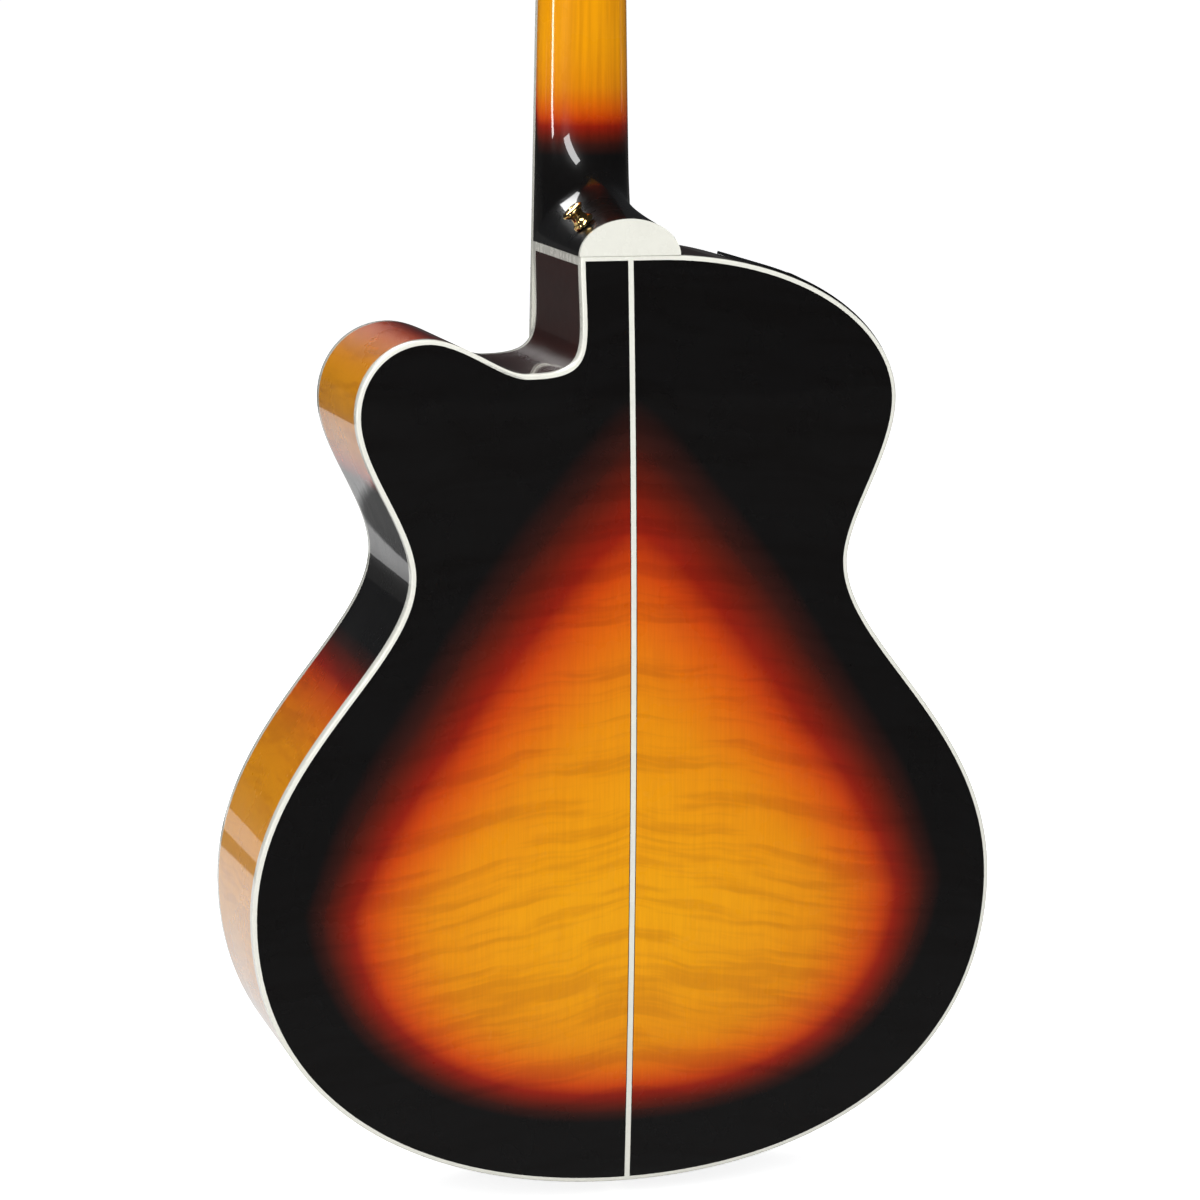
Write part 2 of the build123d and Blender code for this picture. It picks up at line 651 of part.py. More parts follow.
bridge_face = RectangleRounded(BRIDGE_L, BRIDGE_W, 6)
bridge_plane = Plane(origin=(0, 0, BRIDGE_Z), x_dir=(1, 0, 0), z_dir=(0, -1, 0))
bridge = extrude(bridge_plane * bridge_face, amount=BRIDGE_T)
bridge = fillet(bridge.faces().sort_by(Axis.Y)[0].edges(), 2.4)
saddle_slot = block(
    (-SADDLE_L / 2, SADDLE_L / 2), (-20, -SADDLE_FOOT),
    (SADDLE_Z - SADDLE_T / 2, SADDLE_Z + SADDLE_T / 2))
bridge = pin_holes(bridge) - saddle_slot
for i in range(6):
    x = string_x(i, SADDLE_PITCH)
    bridge = bridge - block((x - 0.85, x + 0.85), (-12, -BRIDGE_T + 1.2), (PIN_Z + 2, SADDLE_Z))
nodes["bridge"] = bridge
saddle = block(
    (-SADDLE_L / 2 + FIT, SADDLE_L / 2 - FIT), (-SADDLE_TOP, -SADDLE_FOOT),
    (SADDLE_Z - SADDLE_T / 2 + FIT, SADDLE_Z + SADDLE_T / 2 - FIT))
nodes["saddle"] = fillet(saddle.faces().sort_by(Axis.Y)[0].edges().filter_by(Axis.X), 1.2)
pins = []
for i in range(6):
    x = string_x(i, SADDLE_PITCH)
    cap = Pos(x, -BRIDGE_T, PIN_Z) * Sphere(PIN_HEAD_R)
    cap = cap & block((x - 5, x + 5), (-20, -BRIDGE_T), (PIN_Z - 5, PIN_Z + STRING_SLOT - 0.9))
    pins.append(cap + rod((x, -BRIDGE_T - 1, PIN_Z), (x, -BRIDGE_T + PIN_L, PIN_Z), PIN_R))
nodes["bridge_pins"] = several(pins)

guard_face = make_face([Spline(*[(x, 0, z) for x, z in PICKGUARD], periodic=True)])
pickguard = extrude(guard_face, amount=PICKGUARD_T, dir=(0, -1, 0))
guard_hole = rod((0, -5, HOLE_Z), (0, 10, HOLE_Z), ROSETTE_R + ROSETTE_W / 2 + 0.4)
pickguard = pickguard - guard_hole - block((-40, board_half(BOARD_LOW) + 1), (-5, 5), (BOARD_LOW - 1, -300))
nodes["pickguard"] = pickguard.solids().sort_by(SortBy.VOLUME)[-1]

# ---------------------------------------------------------------- sides, bindings, back
nodes["binding_top"] = ring(0, BINDING_W, 0, BINDING_H)
nodes["binding_back"] = (ring(0, BINDING_W, 60, FAR_Y) & outer_ball) - edge_ball
ribs = (ring(0, RIB_T, BINDING_H, FAR_Y) & edge_ball)
ribs = ribs - block(
    (-TENON_W / 2 - 0.1, TENON_W / 2 + 0.1), (TENON_Y[0] - 0.1, TENON_Y[1] + 0.1),
    (BODY_TOP - 5, BODY_TOP + 5))
end_strip_zone = block((20, 40), (0, 130), (BODY_TOP - 5.0, BODY_TOP + 5))
nodes["cutaway_end_strip"] = (ribs & end_strip_zone).solids().sort_by(Axis.X)[-1]
ribs = ribs - nodes["cutaway_end_strip"]
tail_zone = block((-4, 4), (0, 130), (BODY_END - 5, BODY_END + 8))
tail_strip = ribs & tail_zone
ribs = ribs - tail_zone
jack_hole = rod((0, JACK_Y, BODY_END - 5), (0, JACK_Y, BODY_END + 40), BUSHING_R + FIT)
nodes["tail_strip"] = tail_strip - jack_hole
ribs = ribs - jack_hole
module_window = band(
    MODULE[0] - 0.004, MODULE[1] + 0.004, RIB_T + 0.5, -1, MODULE_Y[0] - 0.4, MODULE_Y[1] + 0.4)
nodes["rib_treble"] = ribs & block((0, 300), (0, 200), (-900, -300))
nodes["rib_bass"] = (ribs & block((-300, 0), (0, 200), (-900, -300))) - module_window

back = (slab(BINDING_W, 60, FAR_Y) & outer_ball) - plate_ball
strip_zone = block((-STRIP_HALF, STRIP_HALF), (0, 200), (-900, -300))
nodes["back_centre_strip"] = back & strip_zone
nodes["back_treble"] = back & block((STRIP_HALF, 300), (0, 200), (-900, -300))
nodes["back_bass"] = back & block((-300, -STRIP_HALF), (0, 200), (-900, -300))

# ---------------------------------------------------------------- blocks, linings and braces
neck_block = (slab(RIB_T, TOP_T, FAR_Y) & plate_ball) & block(
    (-38, 25), (0, 200), (BODY_TOP - 58, BODY_TOP))
mortise = block(
    (-TENON_W / 2 - 0.1, TENON_W / 2 + 0.1), (TENON_Y[0] - 0.1, TENON_Y[1] + 0.1),
    (BODY_TOP - TENON_L - 0.1, BODY_TOP + 5))
tail_block = (slab(RIB_T, TOP_T, FAR_Y) & plate_ball) & block(
    (-38, 38), (0, 200), (BODY_END, BODY_END + 24))
lining_back = (ring(RIB_T, RIB_T + LINING_W, 60, FAR_Y) & plate_ball) - lining_ball
lining_top = ring(RIB_T, RIB_T + LINING_W, TOP_T, TOP_T + LINING_H)
for blocker in (neck_block, tail_block):
    lining_back = lining_back - blocker
    lining_top = lining_top - blocker
nodes["linings"] = several([lining_top, lining_back])
for y in BOLT_Y:
    neck_block = neck_block - rod((0, y, BODY_TOP - 90), (0, y, BODY_TOP + 11), BOLT_R + FIT)
nodes["neck_block"] = neck_block - mortise
nodes["tail_block"] = tail_block - jack_hole
nodes["neck_bolts"] = several(bolts)

inner_room = slab(RIB_T + LINING_W, TOP_T, FAR_Y)


def top_bar(x, z, angle, length, height=BRACE_H):
    bar = Pos(x, TOP_T + height / 2, z) * Rot(0, angle, 0) * Box(length, height, BRACE_W)
    return bar & inner_room


x_brace = top_bar(0, X_CROSS_Z, X_ANGLE, 620) + top_bar(0, X_CROSS_Z, -X_ANGLE, 620)
blocks_zone = block((-40, 40), (0, 200), (BODY_TOP - 60, BODY_TOP)) + block(
    (-40, 40), (0, 200), (BODY_END, BODY_END + 26))
nodes["x_brace"] = x_brace - blocks_zone
transverse_bar = top_bar(0, HOLE_Z + HOLE_R + 16, 0, 600) - x_brace
tone_bars = []
plate = block((-88, 88), (TOP_T, TOP_T + PLATE_T), (BRIDGE_Z - 22, BRIDGE_Z + 14)) - x_brace
plate = plate.solids().sort_by(SortBy.VOLUME)[-1]
for drop, height in ((722, 10.0), (772, 9.0)):
    cut_bar = top_bar(20, -drop, 28, 600, height) - x_brace - plate
    tone_bars.append(cut_bar.solids().sort_by(SortBy.VOLUME)[-1])
nodes["top_braces"] = several([transverse_bar] + tone_bars)
nodes["bridge_plate"] = pin_holes(plate)

under_back = dome(BACK_T + BRACE_H)
braces = []
for z in BACK_BRACE_Z:
    zone = block((-300, 300), (60, 130), (z - BRACE_W / 2, z + BRACE_W / 2))
    braces.append(((inner_room & zone) & plate_ball) - under_back)
nodes["back_braces"] = several(braces)
graft_zone = block((-GRAFT_HALF, GRAFT_HALF), (60, 130), (BODY_END + 26, BODY_TOP - 60))
graft = ((inner_room & graft_zone) & plate_ball) - dome(BACK_T + GRAFT_T)
for brace in braces:
    graft = graft - brace
nodes["back_reinforcement"] = several([graft])

# ---------------------------------------------------------------- tail jack and strap button
jack_place = Plane(origin=(0, JACK_Y, BODY_END), x_dir=(1, 0, 0), z_dir=(0, 0, -1))
nodes["strap_button_tail"] = jack_place * turned(JACK_PROFILE)

# ---------------------------------------------------------------- electronics on the shoulder
panel = band(*PANEL, -0.06, -PANEL_T, PANEL_Y, FAR_Y) & dome(BINDING_H + 1.5)
module = band(*MODULE, MODULE_D, 0.03, *MODULE_Y)
battery_plane = shoulder_plane((DOOR[0] + DOOR[1]) / 2, sum(DOOR_Y) / 2)
battery_room = battery_plane * Pos(0, 0, 20 + BATTERY_TOP - BATTERY[2] - 0.4) * Box(
    BATTERY[0] + 0.8, BATTERY[1] + 0.8, 40)
module = module - battery_room
door_zone = band(DOOR[0] - 0.004, DOOR[1] + 0.004, DOOR_T, -5, DOOR_Y[0] - GAP, DOOR_Y[1] + GAP)
panel = panel - door_zone
module = module - door_zone
for i, y in enumerate(KNOB_Y):
    plane = shoulder_plane(KNOB_AT, y)
    knob = Cylinder(KNOB_R, KNOB_DEPTH + PANEL_T + KNOB_PROUD, align=(Align.CENTER, Align.CENTER, Align.MIN))
    knob = Pos(0, 0, -KNOB_DEPTH) * fillet(knob.faces().sort_by(Axis.Z)[-1].edges(), 0.6)
    groove = Pos(0, KNOB_R * 0.55, PANEL_T + KNOB_PROUD) * Box(0.9, KNOB_R * 0.7, 0.8)
    well = rod((0, 0, -KNOB_DEPTH - 0.4), (0, 0, 10), KNOB_R + GAP)
    panel = panel - plane * well
    module = module - plane * well
    nodes[f"preamp_knob_{i + 1}"] = plane * (knob - groove)
push_plane = shoulder_plane(PUSH_AT, PUSH_Y)
push_well = push_plane * rod((0, 0, -5.0), (0, 0, 10), PUSH_R + GAP)
panel = panel - push_well
module = module - push_well
nodes["preamp_push_button"] = push_plane * rod((0, 0, -3.2), (0, 0, PANEL_T + 0.9), PUSH_R)
door = band(*DOOR, DOOR_T - 0.6, -PANEL_T, *DOOR_Y)
hinge_at = edge_point(SHOULDER, DOOR[0], -PANEL_T)
hinge_low = (hinge_at.X, DOOR_Y[0], hinge_at.Z)
hinge_high = (hinge_at.X, DOOR_Y[1], hinge_at.Z)
panel = panel - rod(
    (hinge_at.X, DOOR_Y[0] - GAP, hinge_at.Z), (hinge_at.X, DOOR_Y[1] + GAP, hinge_at.Z), HINGE_R + GAP)
door = door + rod(hinge_low, hinge_high, HINGE_R)
nodes["preamp_panel"] = panel
nodes["preamp_module"] = module
nodes["battery_door"] = door
nodes["battery"] = battery_plane * Pos(0, 0, BATTERY_TOP - BATTERY[2] / 2) * Box(*BATTERY)

if __name__ == "__main__":
    os.makedirs("parts", exist_ok=True)
    for name, shape in nodes.items():
        export_step(shape, f"parts/{name}.step")
    print(len(nodes), "nodes")
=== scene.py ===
import math

import bmesh
import bpy
import numpy as np
from mathutils import Matrix, Vector


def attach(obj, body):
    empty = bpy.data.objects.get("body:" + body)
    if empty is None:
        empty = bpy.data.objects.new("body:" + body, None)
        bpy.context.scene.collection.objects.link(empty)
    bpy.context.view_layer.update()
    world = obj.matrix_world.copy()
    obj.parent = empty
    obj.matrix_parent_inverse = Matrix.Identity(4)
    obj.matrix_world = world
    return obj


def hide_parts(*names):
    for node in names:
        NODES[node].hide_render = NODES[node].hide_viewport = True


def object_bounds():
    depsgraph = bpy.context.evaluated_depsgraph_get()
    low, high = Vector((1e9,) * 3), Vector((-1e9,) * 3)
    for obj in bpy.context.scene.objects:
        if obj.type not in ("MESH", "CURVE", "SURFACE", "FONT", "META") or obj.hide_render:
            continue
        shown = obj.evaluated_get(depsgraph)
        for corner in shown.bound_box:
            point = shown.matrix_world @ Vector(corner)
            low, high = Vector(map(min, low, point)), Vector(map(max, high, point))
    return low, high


bl_info = {
    "name": "Sunburst jumbo guitar",
    "version": (1, 0, 0),
    "blender": (4, 5, 0),
    "location": "View3D > Sidebar > Guitar",
    "description": "Builds the outer skin, hardware finishes and studio of a cutaway jumbo guitar",
    "category": "Add Mesh",
}

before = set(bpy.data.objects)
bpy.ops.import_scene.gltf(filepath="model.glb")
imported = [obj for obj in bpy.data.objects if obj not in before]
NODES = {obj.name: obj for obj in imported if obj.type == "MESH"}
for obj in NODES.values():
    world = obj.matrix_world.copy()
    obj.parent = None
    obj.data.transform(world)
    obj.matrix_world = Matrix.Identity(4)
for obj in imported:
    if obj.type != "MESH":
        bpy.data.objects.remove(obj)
CAD_BOX = [list(corner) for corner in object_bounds()]
MM = 0.001

# ---------------------------------------------------------------- sizes, mm
SCALE = 644.0
BODY_TOP = -SCALE * (1 - 2 ** (-14 / 12))
RIB_T = 2.6
BINDING_W = 2.5
BINDING_H = 6.5
BACK_T = 3.0
STRIP_HALF = 1.9
DOME_R = 3412.0
DOME_APEX_Y = 116.5
DOME_APEX_Z = -641.5
NUT_HALF = 21.5
JOINT_HALF = 27.75
NUT_T = 5.0
HEEL_HALF = 28.5
HEEL_D = 20.0
CAP_T = 1.6
TILT = math.radians(14.0)
HEAD_T = 14.0
HEAD_L = 178.0
VENEER_T = 2.0
HEAD_ROOT = [
    # distance up the head, half width, depth, roundness
    (22, 25.2, HEAD_T, 8.0),
    (14, 22.6, HEAD_T + 0.2, 5.0),
    (2, NUT_HALF, HEAD_T + 1, 2.8),
]
END_STRIP = 5.0
TAIL_HALF = 4.0
OUTLINE_KEYS = [
    ((28.0, 0.0), (0, -1)),
    ((58.0, -63.0), (1, 0)),
    ((113.0, -43.0), (1, 0)),
    ((153.0, -85.0), (0, -1)),
    ((124.0, -171.5), (0, -1)),
    ((212.5, -357.5), (0, -1)),
    ((0.0, -520.5), (-1, 0)),
    ((-212.5, -357.5), (0, 1)),
    ((-124.0, -171.5), (0, 1)),
    ((-153.0, -80.5), (0, 1)),
    ((-15.5, 0.0), (1, 0)),
]
OUTLINE_HANDLES = [
    (52.0, 37.5), (14.5, 20.0), (23.0, 23.5), (29.0, 27.5), (48.0, 89.0),
    (107.0, 118.0), (118.0, 107.0), (89.0, 48.0), (25.5, 31.5), (40.5, 83.0),
]
TAIL_SPAN = 5
SHOULDER = 9
MODULE = (0.161, 0.664)
MODULE_Y = (19.6, 86.4)
NECK_BACK = [
    # ridge y, ridge z, base y, base z, half width, roundness
    (15.5, -20.0, 0.0, -20.0, None, 2.2),
    (16.6, -110.0, 0.0, -110.0, None, 2.2),
    (18.0, -200.0, 0.0, -200.0, None, 2.2),
    (19.0, -265.0, 0.0, -265.0, None, 2.2),
    (19.8, -288.0, 0.0, -294.0, None, 2.2),
    (22.0, -303.0, 0.0, -320.0, None, 2.15),
    (27.5, -314.0, 0.0, -342.0, None, 2.1),
    (37.0, -322.5, 0.0, BODY_TOP, JOINT_HALF, 2.0),
    (53.0, -329.0, 22.0, BODY_TOP, 27.9, 2.0),
    (75.0, -333.5, 58.0, BODY_TOP, 28.2, 2.0),
]
HEAD_SIDE = [(21.8, 8), (23.5, 18), (32, 36), (37.5, 52), (39.0, 90), (40.5, 130), (41.5, 158)]
HEAD_CROWN = [(41.5, 158), (38.5, 170), (22, 172.5), (0, HEAD_L)]
STRAP_AT = (20.5, 82.0, BODY_TOP + 16.5)
STRAP_WAY = (0.69, 0.0, 0.724)
STRAP_PROFILE = [
    (0.0, -0.35), (6.4, -0.35), (6.5, 0.2), (6.3, 1.0), (5.2, 2.2), (4.3, 3.3), (3.95, 4.6), (3.95, 5.6),
    (4.5, 6.8), (5.8, 8.0), (6.45, 8.8), (6.5, 9.5), (6.0, 10.2), (4.6, 10.6), (2.6, 10.75), (2.2, 10.0),
    (0.0, 9.9),
]
SIDE_DOTS = [(3, 0), (5, 0), (7, 0), (9, 0), (12, -3), (12, 3), (15, 0), (17, 0)]
DOT_PROFILE = [(0.0, 0.02), (0.95, 0.02), (1.0, -0.05), (1.0, -0.6), (0.0, -0.6)]


def fret_z(number):
    """Distance of a fret from the nut, downwards."""
    return -SCALE * (1 - 2 ** (-number / 12))


# ---------------------------------------------------------------- user settings
class GuitarSizes(bpy.types.PropertyGroup):
    """Sizes of the skin that a user may change."""
    binding_round: bpy.props.FloatProperty(
        name="Binding rounding", description="Radius of the rounded outer edge of the binding",
        default=1.1 * MM, min=0.0, unit="LENGTH")
    flame_pitch: bpy.props.FloatProperty(
        name="Flame pitch", description="Distance between two flames in the maple figure",
        default=13.0 * MM, min=2.0 * MM, unit="LENGTH")
    floor_size: bpy.props.FloatProperty(
        name="Floor size", description="Side of the studio floor", default=160.0, min=2.0, unit="LENGTH")
    outline_steps: bpy.props.IntProperty(
        name="Outline steps", description="Stations on each stretch of the outline", default=36, min=8)


class GuitarColours(bpy.types.PropertyGroup):
    """Finish colours that a user may change."""
    amber: bpy.props.FloatVectorProperty(
        name="Amber", description="Centre of the sunburst", subtype="COLOR", size=3,
        default=(0.81, 0.345, 0.0))
    orange: bpy.props.FloatVectorProperty(
        name="Orange", description="Middle of the sunburst", subtype="COLOR", size=3,
        default=(0.66, 0.120, 0.0))
    red: bpy.props.FloatVectorProperty(
        name="Red", description="Dark ring of the sunburst", subtype="COLOR", size=3,
        default=(0.27, 0.010, 0.001))
    black: bpy.props.FloatVectorProperty(
        name="Black", description="Edge of the sunburst", subtype="COLOR", size=3,
        default=(0.0045, 0.0042, 0.0042))
    ivory: bpy.props.FloatVectorProperty(
        name="Ivory", description="Binding, heel cap and strips", subtype="COLOR", size=3,
        default=(0.74, 0.735, 0.66))
    gold: bpy.props.FloatVectorProperty(
        name="Gold", description="Plated hardware", subtype="COLOR", size=3, default=(0.86, 0.60, 0.24))


# ---------------------------------------------------------------- outline
def bezier_run(span, t):
    """Cubic curve through two key points with its handles, and its inward normal, at each t."""
    (p0, d0), (p3, d3) = OUTLINE_KEYS[span], OUTLINE_KEYS[span + 1]
    h0, h3 = OUTLINE_HANDLES[span]
    p0, d0, p3, d3 = (np.array(v, float) for v in (p0, d0, p3, d3))
    p1, p2 = p0 + h0 * d0, p3 - h3 * d3
    t = np.asarray(t, float)[:, None]
    point = (1 - t) ** 3 * p0 + 3 * (1 - t) ** 2 * t * p1 + 3 * (1 - t) * t ** 2 * p2 + t ** 3 * p3
    slope = (1 - t) ** 2 * (p1 - p0) + 2 * (1 - t) * t * (p2 - p1) + t ** 2 * (p3 - p2)
    slope /= np.linalg.norm(slope, axis=1, keepdims=True)
    normal = np.stack([slope[:, 1], -slope[:, 0]], axis=1)
    point[:, 1] += BODY_TOP
    return point, normal


def t_where(span, axis, value):
    """Parameter at which a stretch reaches a coordinate, by interpolation on a fine table."""
    t = np.linspace(0, 1, 4001)
    values = bezier_run(span, t)[0][:, axis]
    order = np.argsort(values)
    return float(np.interp(value, values[order], t[order]))


def stations(start, end, steps, extra=()):
    """Stations (span, t) from one place on the outline to another, joined as points and normals."""
    points, normals = [], []
    for span in range(start[0], end[0] + 1):
        low = start[1] if span == start[0] else 0.0
        high = end[1] if span == end[0] else 1.0
        t = np.linspace(low, high, steps + 1)
        t = np.unique(np.concatenate([t, [v for s, v in extra if s == span]]))
        if span != end[0]:
            t = t[:-1]
        p, n = bezier_run(span, t)
        points.append(p)
        normals.append(n)
    return np.concatenate(points), np.concatenate(normals)


def whole_loop(steps):
    """The closed outline: both curves, then the flat top edge with a mitre at the neck corner."""
    p, n = stations((0, t_where(0, 1, BODY_TOP - 4.0)), (SHOULDER, 1.0), steps)
    flat_x = np.linspace(-15.5, 28.0, 9)[1:]
    flat = np.stack([flat_x, np.full_like(flat_x, BODY_TOP)], axis=1)
    flat_n = np.tile([0.0, -1.0], (len(flat_x), 1))
    flat_n[-1] = (-1.0, -1.0)
    return np.concatenate([p, flat]), np.concatenate([n, flat_n])


def dome_y(x, z):
    """Height of the arched back: a ball of radius DOME_R seen along Y."""
    return DOME_APEX_Y - DOME_R + np.sqrt(DOME_R ** 2 - x ** 2 - (z - DOME_APEX_Z) ** 2)


def lifted(points, normals, inset, level, from_back):
    """Outline points moved inwards, at a level of Y or at a depth under the arched back."""
    xz = points + normals * inset
    y = dome_y(xz[:, 0], xz[:, 1]) - level if from_back else np.full(len(xz), float(level))
    return np.stack([xz[:, 0], y, xz[:, 1]], axis=1)


# ---------------------------------------------------------------- mesh tools
def finished(name, verts_mm, faces, sharp=35.0, inside=None):
    """Object from points in millimetres: doubles merged, faces outwards, smooth with sharp edges.

    Faces in the inside range take the second material.
    """
    mesh = bpy.data.meshes.new(name)
    mesh.from_pydata((np.asarray(verts_mm) * MM).tolist(), [], faces)
    if inside:
        slots = np.zeros(len(faces), np.int32)
        slots[slice(*inside)] = 1
        mesh.polygons.foreach_set("material_index", slots)
    work = bmesh.new()
    work.from_mesh(mesh)
    bmesh.ops.remove_doubles(work, verts=work.verts, dist=2e-7)
    bmesh.ops.recalc_face_normals(work, faces=work.faces)
    work.to_mesh(mesh)
    work.free()
    if not mesh.polygons:
        raise RuntimeError(f"{name} has no faces")
    mesh.shade_smooth()
    mesh.set_sharp_from_angle(angle=math.radians(sharp))
    thing = bpy.data.objects.new(name, mesh)
    bpy.context.collection.objects.link(thing)
    return thing


def swept(name, rails, closed, sharp=35.0):
    """Skin over rails, one per profile point: rails run along the way, the profile closes on itself."""
    grid = np.stack(rails, axis=1)
    rows, cols = grid.shape[:2]
    index = np.arange(rows * cols).reshape(rows, cols)
    nxt = np.roll(index, -1, axis=1)
    if closed:
        a, b = index, np.roll(index, -1, axis=0)
        c, d = np.roll(nxt, -1, axis=0), nxt
    else:
        a, b, c, d = index[:-1], index[1:], nxt[1:], nxt[:-1]
    faces = np.stack([a, b, c, d], axis=-1).reshape(-1, 4).tolist()
    if not closed:
        faces += [index[0].tolist(), index[-1][::-1].tolist()]
    return finished(name, grid.reshape(-1, 3), faces, sharp)


def shell(name, outer, inner, window=None, sharp=35.0):
    """Closed sheet between an outer and an inner grid, with walls round its edge and its window."""
    rows, cols = outer.shape[:2]
    kept = np.ones((rows - 1, cols - 1), bool)
    if window is not None:
        kept &= ~window
    top = np.arange(rows * cols).reshape(rows, cols)
    low = top + rows * cols
    r, c = np.nonzero(kept)
    faces = np.stack([top[r, c], top[r + 1, c], top[r + 1, c + 1], top[r, c + 1]], axis=-1).tolist()
    faces += np.stack([low[r, c], low[r, c + 1], low[r + 1, c + 1], low[r + 1, c]], axis=-1).tolist()
    padded = np.pad(kept, 1)
    across = padded[1:, 1:-1] != padded[:-1, 1:-1]
    inside = (len(r), 2 * len(r))
    r, c = np.nonzero(across)
    faces += np.stack([top[r, c], top[r, c + 1], low[r, c + 1], low[r, c]], axis=-1).tolist()
    along = padded[1:-1, 1:] != padded[1:-1, :-1]
    r, c = np.nonzero(along)
    faces += np.stack([top[r, c], top[r + 1, c], low[r + 1, c], low[r, c]], axis=-1).tolist()
    verts = np.concatenate([outer.reshape(-1, 3), inner.reshape(-1, 3)])
    return finished(name, verts, faces, sharp, inside)


def turned(name, profile, at, way, steps=64, sharp=40.0):
    """Profile of radius and height carried round an axis through a point."""
    turn = np.linspace(0, 2 * math.pi, steps, endpoint=False)
    way = Vector(way).normalized()
    side = way.orthogonal().normalized()
    other = way.cross(side)
    rails = []
    for radius, height in profile:
        ring = np.outer(np.cos(turn), side) + np.outer(np.sin(turn), other)
        rails.append(np.array(at) + np.array(way) * height + ring * radius)
    grid = np.stack(rails, axis=1)
    rows, cols = grid.shape[:2]
    index = np.arange(rows * cols).reshape(rows, cols)
    nxt = np.roll(index, -1, axis=0)
    faces = np.stack([index[:, :-1], nxt[:, :-1], nxt[:, 1:], index[:, 1:]], axis=-1).reshape(-1, 4).tolist()
    return finished(name, grid.reshape(-1, 3), faces, sharp)


def catmull(values, t):
    """Smooth value between the middle two of four."""
    a, b, c, d = values
    return b + t / 2 * (c - a + t * (2 * a - 5 * b + 4 * c - d + t * (3 * (b - c) + d - a)))


# ---------------------------------------------------------------- neck and headstock
def on_head(x, y, out):
    """Point across, up and out of the headstock's front wood face."""
    c, s = math.cos(TILT), math.sin(TILT)
    return np.array([x, y * s - out * c, NUT_T + y * c + out * s])


def head_edge(steps):
    """Half width of the headstock against the distance up it, smooth through the key points."""
    ups, halves = [], []
    for keys in (HEAD_SIDE, HEAD_CROWN):
        rows = [np.array(k, float) for k in keys]
        for i in range(len(rows) - 1):
            before = rows[i - 1] if i else 2 * rows[i] - rows[i + 1]
            beyond = rows[i + 2] if i + 2 < len(rows) else 2 * rows[i + 1] - rows[i]
            for t in np.arange(steps) / steps:
                half, up = catmull((before, rows[i], rows[i + 1], beyond), t)
                ups.append(up)
                halves.append(half)
    return np.array(ups + [HEAD_L]), np.array(halves + [0.0])


def section(ridge, base, half, power, count=40):
    """Half super-ellipse from the base line over the ridge, then back along the flat base."""
    angle = np.linspace(0, math.pi, count)
    across = np.sign(np.cos(angle)) * np.abs(np.cos(angle)) ** (2 / power)
    rise = np.abs(np.sin(angle)) ** (2 / power)
    across[0], across[-1] = 1.0, -1.0
    rise[0] = rise[-1] = 0.0
    base, ridge = np.array([0.0, *base]), np.array([0.0, *ridge])
    arc = base + np.outer(across * half, [1, 0, 0]) + np.outer(rise, ridge - base)
    flat = base + np.outer(np.linspace(-half, half, 6)[1:-1], [1, 0, 0])
    return np.concatenate([arc, flat])


def neck_rows():
    """Every section of the neck from the top of the headstock to the end of the heel."""
    ups, halves = head_edge(6)
    rows = []
    for up, half in zip(ups[::-1], halves[::-1]):
        if up <= 24:
            continue
        base, ridge = on_head(0, up, 0), on_head(0, up, -HEAD_T)
        rows.append((ridge[1:], base[1:], max(half, 0.02), 14.0 if up > 34 else 9.0 + (up - 24) * 0.5))
    keyed = []
    for up, half, depth, power in HEAD_ROOT:
        base, ridge = on_head(0, up, 0), on_head(0, up, -depth)
        keyed.append((ridge[1], ridge[2], base[1], base[2], half, power))
    heel_end = dome_y(0, BODY_TOP + HEEL_D) - CAP_T
    table = [k[:4] + (NUT_HALF + (JOINT_HALF - NUT_HALF) * k[3] / BODY_TOP if k[4] is None else k[4], k[5])
             for k in NECK_BACK]
    table = keyed + table + [(heel_end, BODY_TOP + HEEL_D, heel_end, BODY_TOP, HEEL_HALF, 2.0)]
    for i, row in enumerate(table[:-1]):
        around = (table[max(i - 1, 0)], row, table[i + 1], table[min(i + 2, len(table) - 1)])
        around = [np.array(k) for k in around]
        for t in np.arange(10) / 10:
            smooth = catmull(around, t)
            smooth[3] = max(smooth[3], BODY_TOP)
            smooth[2] = max(smooth[2], 0.0)
            rows.append((smooth[0:2], smooth[2:4], smooth[4], smooth[5]))
    last = table[-1]
    rows.append((last[0:2], last[2:4], last[4], last[5]))
    return rows


def build_neck():
    """Neck, heel and headstock wood as one skin over super-ellipse sections."""
    grid = np.stack([section(*row) for row in neck_rows()])
    return swept("neck_wood", list(grid.transpose(1, 0, 2)), False, sharp=50.0)


def build_veneer():
    """Headstock face plate: the headstock outline carried outwards, its front edge eased."""
    ups, halves = head_edge(8)
    keep = ups > 8
    ups = np.concatenate([[0.5, 4.0], ups[keep]])
    halves = np.concatenate([[NUT_HALF, NUT_HALF + 0.1], halves[keep]])
    treble_side = list(zip(halves, ups))
    ring = treble_side + [(-half, up) for half, up in treble_side[-2::-1]]
    rails = []
    for out, inset in ((0.0, 0.0), (VENEER_T - 0.35, 0.0), (VENEER_T - 0.1, 0.12), (VENEER_T, 0.4)):
        rail = []
        for x, up in ring:
            rail.append(on_head(x - math.copysign(min(inset, abs(x)), x), min(up, HEAD_L - inset), out))
        rails.append(np.array(rail))
    count = len(ring)
    verts = np.concatenate(rails)
    faces = []
    for k in range(len(rails) - 1):
        for i in range(count):
            j = (i + 1) % count
            faces.append([k * count + i, k * count + j, (k + 1) * count + j, (k + 1) * count + i])
    faces.append(list(range(count)))
    faces.append([(len(rails) - 1) * count + i for i in range(count)][::-1])
    return finished("headstock_face", verts, faces, 30.0)


